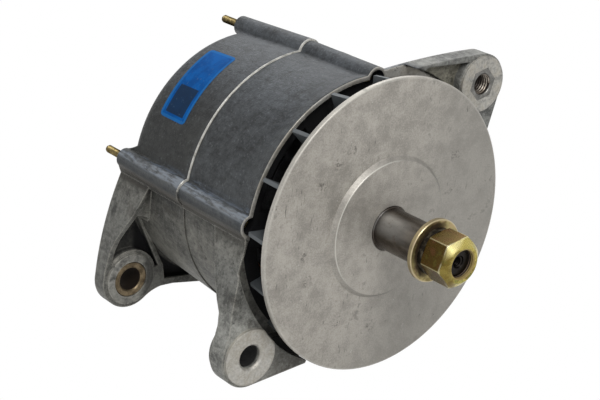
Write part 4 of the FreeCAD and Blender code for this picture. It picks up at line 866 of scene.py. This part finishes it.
def laminated_steel():
    material, place = new_finish("lamination_steel")
    sheets = place.math("SINE", xyz(place)[1] * (math.tau / sheet_thickness))
    patch = cloud(place, 12 * MM, 3.0, 0.6)
    colour = mixed(sheet_dark, sheet_light, rise(patch + 0.15 * sheets, 0.3, 0.7))
    surface(place, colour, 0.5 + 0.1 * (patch - 0.5), 0.7, sheets, 0.1 * MM)
    return material


def wound_copper(name, dark, light, wire):
    material, place = new_finish(name)
    across_wires = xyz(place)[1] + 0.35 * distance_from_axis(place)
    wires = place.math("SINE", across_wires * (math.tau / wire))
    patch = cloud(place, 6 * MM, 3.0, 0.6)
    colour = mixed(dark, light, rise(patch + 0.2 * wires, 0.3, 0.75))
    surface(place, colour, 0.35 + 0.15 * (patch - 0.5), 0.6, wires, 0.3 * MM)
    return material


winding_copper = wound_copper("winding_copper", (0.16, 0.05, 0.02, 1.0), (0.50, 0.20, 0.09, 1.0), 1.6 * MM)
coil_copper = wound_copper("coil_copper", (0.20, 0.07, 0.03, 1.0), (0.52, 0.23, 0.10, 1.0), 0.9 * MM)
paint(laminated_steel(), "stator_core")
paint(winding_copper, "stator_winding")
paint(coil_copper, "field_coil")


# Rotor iron and slip rings: the two claw poles are forged and oiled dark, and the slip rings are turned
# copper, pressed on a black moulded hub behind them.
pole_iron = steel("pole_steel", (0.055, 0.055, 0.06, 1.0), (0.14, 0.14, 0.145, 1.0), 0.5, stained=0.4)
ring_copper = steel("slip_ring_copper", (0.42, 0.19, 0.09, 1.0), (0.68, 0.36, 0.20, 1.0), 0.28,
                    turned=0.4 * MM)
paint(pole_iron, "front_claw_pole", "rear_claw_pole")
paint(ring_copper, "slip_rings")


# Moulded plastics: hub, bobbin, brush holder, regulator and cap are glass-filled black, and the bushes that
# insulate two of the terminals are red. All are moulded with a fine grain, and carry some dust.
dust_grey = (0.16, 0.155, 0.145, 1.0)


def moulding(name, dark, light, roughness):
    material, place = new_finish(name)
    patch = cloud(place, 10 * MM, 3.0, 0.6)
    grain = cloud(place, 0.7 * MM, 2.0, 0.6)
    dust = rise(cloud(place, 4 * MM, 3.0, 0.7), 0.58, 0.74)
    colour = mixed(dark, light, rise(patch, 0.35, 0.65))
    colour = mixed(colour, dust_grey, dust * 0.3)
    surface(place, colour, roughness + 0.15 * (patch - 0.5) + 0.1 * dust, 0.0, grain, 0.06 * MM, 0.3 * MM)
    return material


black_plastic = moulding("black_plastic", (0.012, 0.012, 0.013, 1.0), (0.03, 0.03, 0.032, 1.0), 0.5)
red_plastic = moulding("red_plastic", (0.20, 0.025, 0.018, 1.0), (0.30, 0.045, 0.03, 1.0), 0.42)
paint(black_plastic, "slip_ring_hub", "coil_bobbin", "brush_holder", "voltage_regulator", "slip_ring_cap")
paint(red_plastic, "positive_insulator", "signal_insulator")


# Rectifier and brushes: pressed aluminium heat sinks with nickel plated diodes, and carbon brushes, each pushed
# on its slip ring by a coil of round wire; each coil here is one fixed shape.
sink_aluminium = steel("sink_aluminium", (0.085, 0.083, 0.078, 1.0), (0.19, 0.185, 0.175, 1.0), 0.55,
                       metallic=0.4)
diode_nickel = steel("diode_metal", (0.36, 0.35, 0.33, 1.0), (0.52, 0.51, 0.49, 1.0), 0.26, stained=0.1)
brush_carbon = steel("carbon", (0.02, 0.02, 0.021, 1.0), (0.05, 0.05, 0.052, 1.0), 0.6, metallic=0.1)
spring_wire = steel("spring_steel", (0.26, 0.25, 0.24, 1.0), (0.45, 0.44, 0.42, 1.0), 0.3)
paint(sink_aluminium, "positive_heat_sink", "negative_heat_sink")
paint(diode_nickel, "positive_diodes", "negative_diodes")
paint(brush_carbon, "front_brush", "rear_brush")

coil_radius = 1.75 * MM
coil_wire = 0.38 * MM
coil_turns = 8.0
upright = (0.0, 0.0, 0.0)
for end in ("front", "rear"):
    low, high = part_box(end + "_brush_spring")
    coil_foot = ((low.x + high.x) / 2, (low.y + high.y) / 2, low.z + coil_wire)
    coil_length = high.z - low.z
    coil = wound(end + "_brush_coil", [coil_foot], Turns=coil_turns, Radius=coil_radius,
                 Length=coil_length - 2 * coil_wire, Wire=coil_wire, Steps=20, Sides=8, Lean=upright,
                 Finish=spring_wire)
    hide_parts(end + "_brush_spring")
    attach(coil, "housing")
    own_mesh(coil)


# Sticker: a plain blue printed film with rounded corners, bent round the slip ring end shield, with a lighter
# border line and a dark panel in its lower half, left blank.
sticker_first_angle = 115.1
sticker_last_angle = 152.1
sticker_front = 119.1 * MM
sticker_width = 29.5 * MM
sticker_length = 60.0 * MM
sticker_corner = 3.2 * MM
sticker_slant = 3.8 * MM
sticker_stand_off = 0.12 * MM
sticker_columns, sticker_rows = 96, 24
shell_front_radius = 94.5 * MM
shell_front_y = 97.0 * MM
shell_back_radius = 91.2 * MM
shell_back_y = 156.0 * MM

film_dark = (0.001, 0.065, 0.25, 1.0)
film_light = (0.002, 0.10, 0.36, 1.0)
film_border = (0.02, 0.16, 0.42, 1.0)
film_panel = (0.009, 0.020, 0.036, 1.0)
film_scuff = (0.10, 0.16, 0.22, 1.0)


def shell_radius(y):
    share = (y - shell_front_y) / (shell_back_y - shell_front_y)
    return shell_front_radius + share * (shell_back_radius - shell_front_radius)


def sticker():
    points, corners, faces = [], [], []
    for i in range(sticker_columns + 1):
        u = i / sticker_columns
        angle = math.radians(sticker_first_angle + u * (sticker_last_angle - sticker_first_angle))
        into_corner = max(0.0, sticker_corner - min(u, 1 - u) * sticker_length)
        inset = (sticker_corner - math.sqrt(sticker_corner ** 2 - into_corner ** 2)) / sticker_width
        for j in range(sticker_rows + 1):
            v = inset + (1 - 2 * inset) * j / sticker_rows
            y = sticker_front + v * sticker_width + (1 - u) * sticker_slant
            radius = shell_radius(y) + sticker_stand_off
            points.append((radius * math.cos(angle), y, radius * math.sin(angle)))
            corners.append((u, v))
    for i in range(sticker_columns):
        for j in range(sticker_rows):
            a = i * (sticker_rows + 1) + j
            b = a + sticker_rows + 1
            faces.append((a, a + 1, b + 1, b))
    mesh = bpy.data.meshes.new("sticker")
    mesh.from_pydata(points, [], faces)
    layer = mesh.uv_layers.new(name="film")
    for loop in mesh.loops:
        layer.data[loop.index].uv = corners[loop.vertex_index]
    mesh.shade_smooth()
    return bpy.data.objects.new("sticker", mesh)


def sticker_film():
    material, place = new_finish("sticker_film")
    u, v, w = xyz(place.step("ShaderNodeUVMap", {"uv_map": "film"}))
    border = 1 - band(u, 0.04, 0.96, 0.01) * band(v, 0.08, 0.92, 0.02)
    panel = band(u, 0.58, 0.93, 0.01) * band(v, 0.16, 0.84, 0.02)
    fade = cloud(place, 11 * MM, 3.0, 0.6)
    colour = mixed(film_dark, film_light, rise(fade, 0.35, 0.65))
    colour = mixed(colour, film_border, border * 0.6)
    colour = mixed(colour, film_panel, panel * 0.88)
    scuff = rise(cloud(place, 2.5 * MM, 3.0, 0.6), 0.60, 0.72)
    colour = mixed(colour, film_scuff, scuff * 0.35)
    surface(place, colour, 0.65 + 0.15 * scuff, 0.0, fade, 0.05 * MM, **{"Specular IOR Level": 0.08})
    return material


film = sticker()
bpy.context.scene.collection.objects.link(film)
film.data.materials.append(sticker_film())
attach(film, "housing")


# Studio: a plain pale floor under the feet, a pale surround, two large soft lamps, and the camera where the
# photographer stood, with the picture turned a little.
floor_level = cad_low.z
floor_reach = 3.0
floor_grey = (0.85, 0.85, 0.85, 1.0)
surround_low = (0.24, 0.245, 0.25, 1.0)
surround_high = (0.56, 0.58, 0.61, 1.0)
white = (1.0, 1.0, 1.0, 1.0)
eye = Vector((-0.6453, -0.6483, 0.3436))
aim = Vector((-0.0452, 0.0386, 0.0134))
roll = 5.78
focal_length = 90.9
sensor_width = 36.0


def seen_directly(tree):
    """1 for rays from the camera, off a gloss or through glass, 0 for those that light the object."""
    rays = tree.nodes.new("ShaderNodeLightPath").outputs
    total = Field(tree, rays["Is Camera Ray"]) + Field(tree, rays["Is Glossy Ray"])
    total = total + Field(tree, rays["Is Transmission Ray"])
    return total.math("MINIMUM", total, 1.0)


def floor_finish():
    material, place = new_finish("pale_floor")
    seen = seen_directly(material.node_tree)
    plain = place.step("ShaderNodeBsdfDiffuse", inputs={"Color": floor_grey})
    glow = place.step("ShaderNodeEmission", inputs={"Color": white, "Strength": 1.0})
    both = place.step("ShaderNodeMixShader", inputs={0: seen, 1: plain, 2: glow})
    place.step("ShaderNodeOutputMaterial", inputs={"Surface": both})
    return material


def surround():
    world = bpy.data.worlds.new("surround")
    world.use_nodes = True
    world.node_tree.nodes.clear()
    seen = seen_directly(world.node_tree)
    upward = xyz(seen.step("ShaderNodeTexCoord"))[2]
    dome = mixed(surround_low, surround_high, rise(upward, 0.05, 0.85))
    light = seen.step("ShaderNodeBackground", inputs={"Color": dome, "Strength": 1.0})
    view = seen.step("ShaderNodeBackground", inputs={"Color": white, "Strength": 1.0})
    both = seen.step("ShaderNodeMixShader", inputs={0: seen, 1: light, 2: view})
    seen.step("ShaderNodeOutputWorld", inputs={"Surface": both})
    return world


def lamp(name, place, size, power):
    light = bpy.data.lights.new(name, "AREA")
    light.shape = "SQUARE"
    light.size = size
    light.energy = power
    made = bpy.data.objects.new(name, light)
    made.location = place
    made.rotation_euler = (middle - Vector(place)).to_track_quat("-Z", "Y").to_euler()
    bpy.context.scene.collection.objects.link(made)


floor_mesh = bpy.data.meshes.new("floor")
floor_mesh.from_pydata([(x * floor_reach, y * floor_reach, floor_level)
                        for x, y in ((-1, -1), (1, -1), (1, 1), (-1, 1))], [], [(0, 1, 2, 3)])
floor = bpy.data.objects.new("floor", floor_mesh)
bpy.context.scene.collection.objects.link(floor)
floor.data.materials.append(floor_finish())

bpy.context.scene.world = surround()
middle = (cad_low + cad_high) / 2
lamp("key", place=(-0.45, -0.85, 1.1), size=0.6, power=12.0)
lamp("back", place=(0.5, 0.9, 0.9), size=0.7, power=5.0)

camera = bpy.data.cameras.new("camera")
camera.lens = focal_length
camera.sensor_width = sensor_width
viewer = bpy.data.objects.new("camera", camera)
facing = (aim - eye).to_track_quat("-Z", "Y").to_matrix().to_4x4()
viewer.matrix_world = Matrix.Translation(eye) @ facing @ Matrix.Rotation(math.radians(roll), 4, "Z")
bpy.context.scene.collection.objects.link(viewer)
bpy.context.scene.camera = viewer
bpy.context.scene.view_settings.view_transform = "Standard"
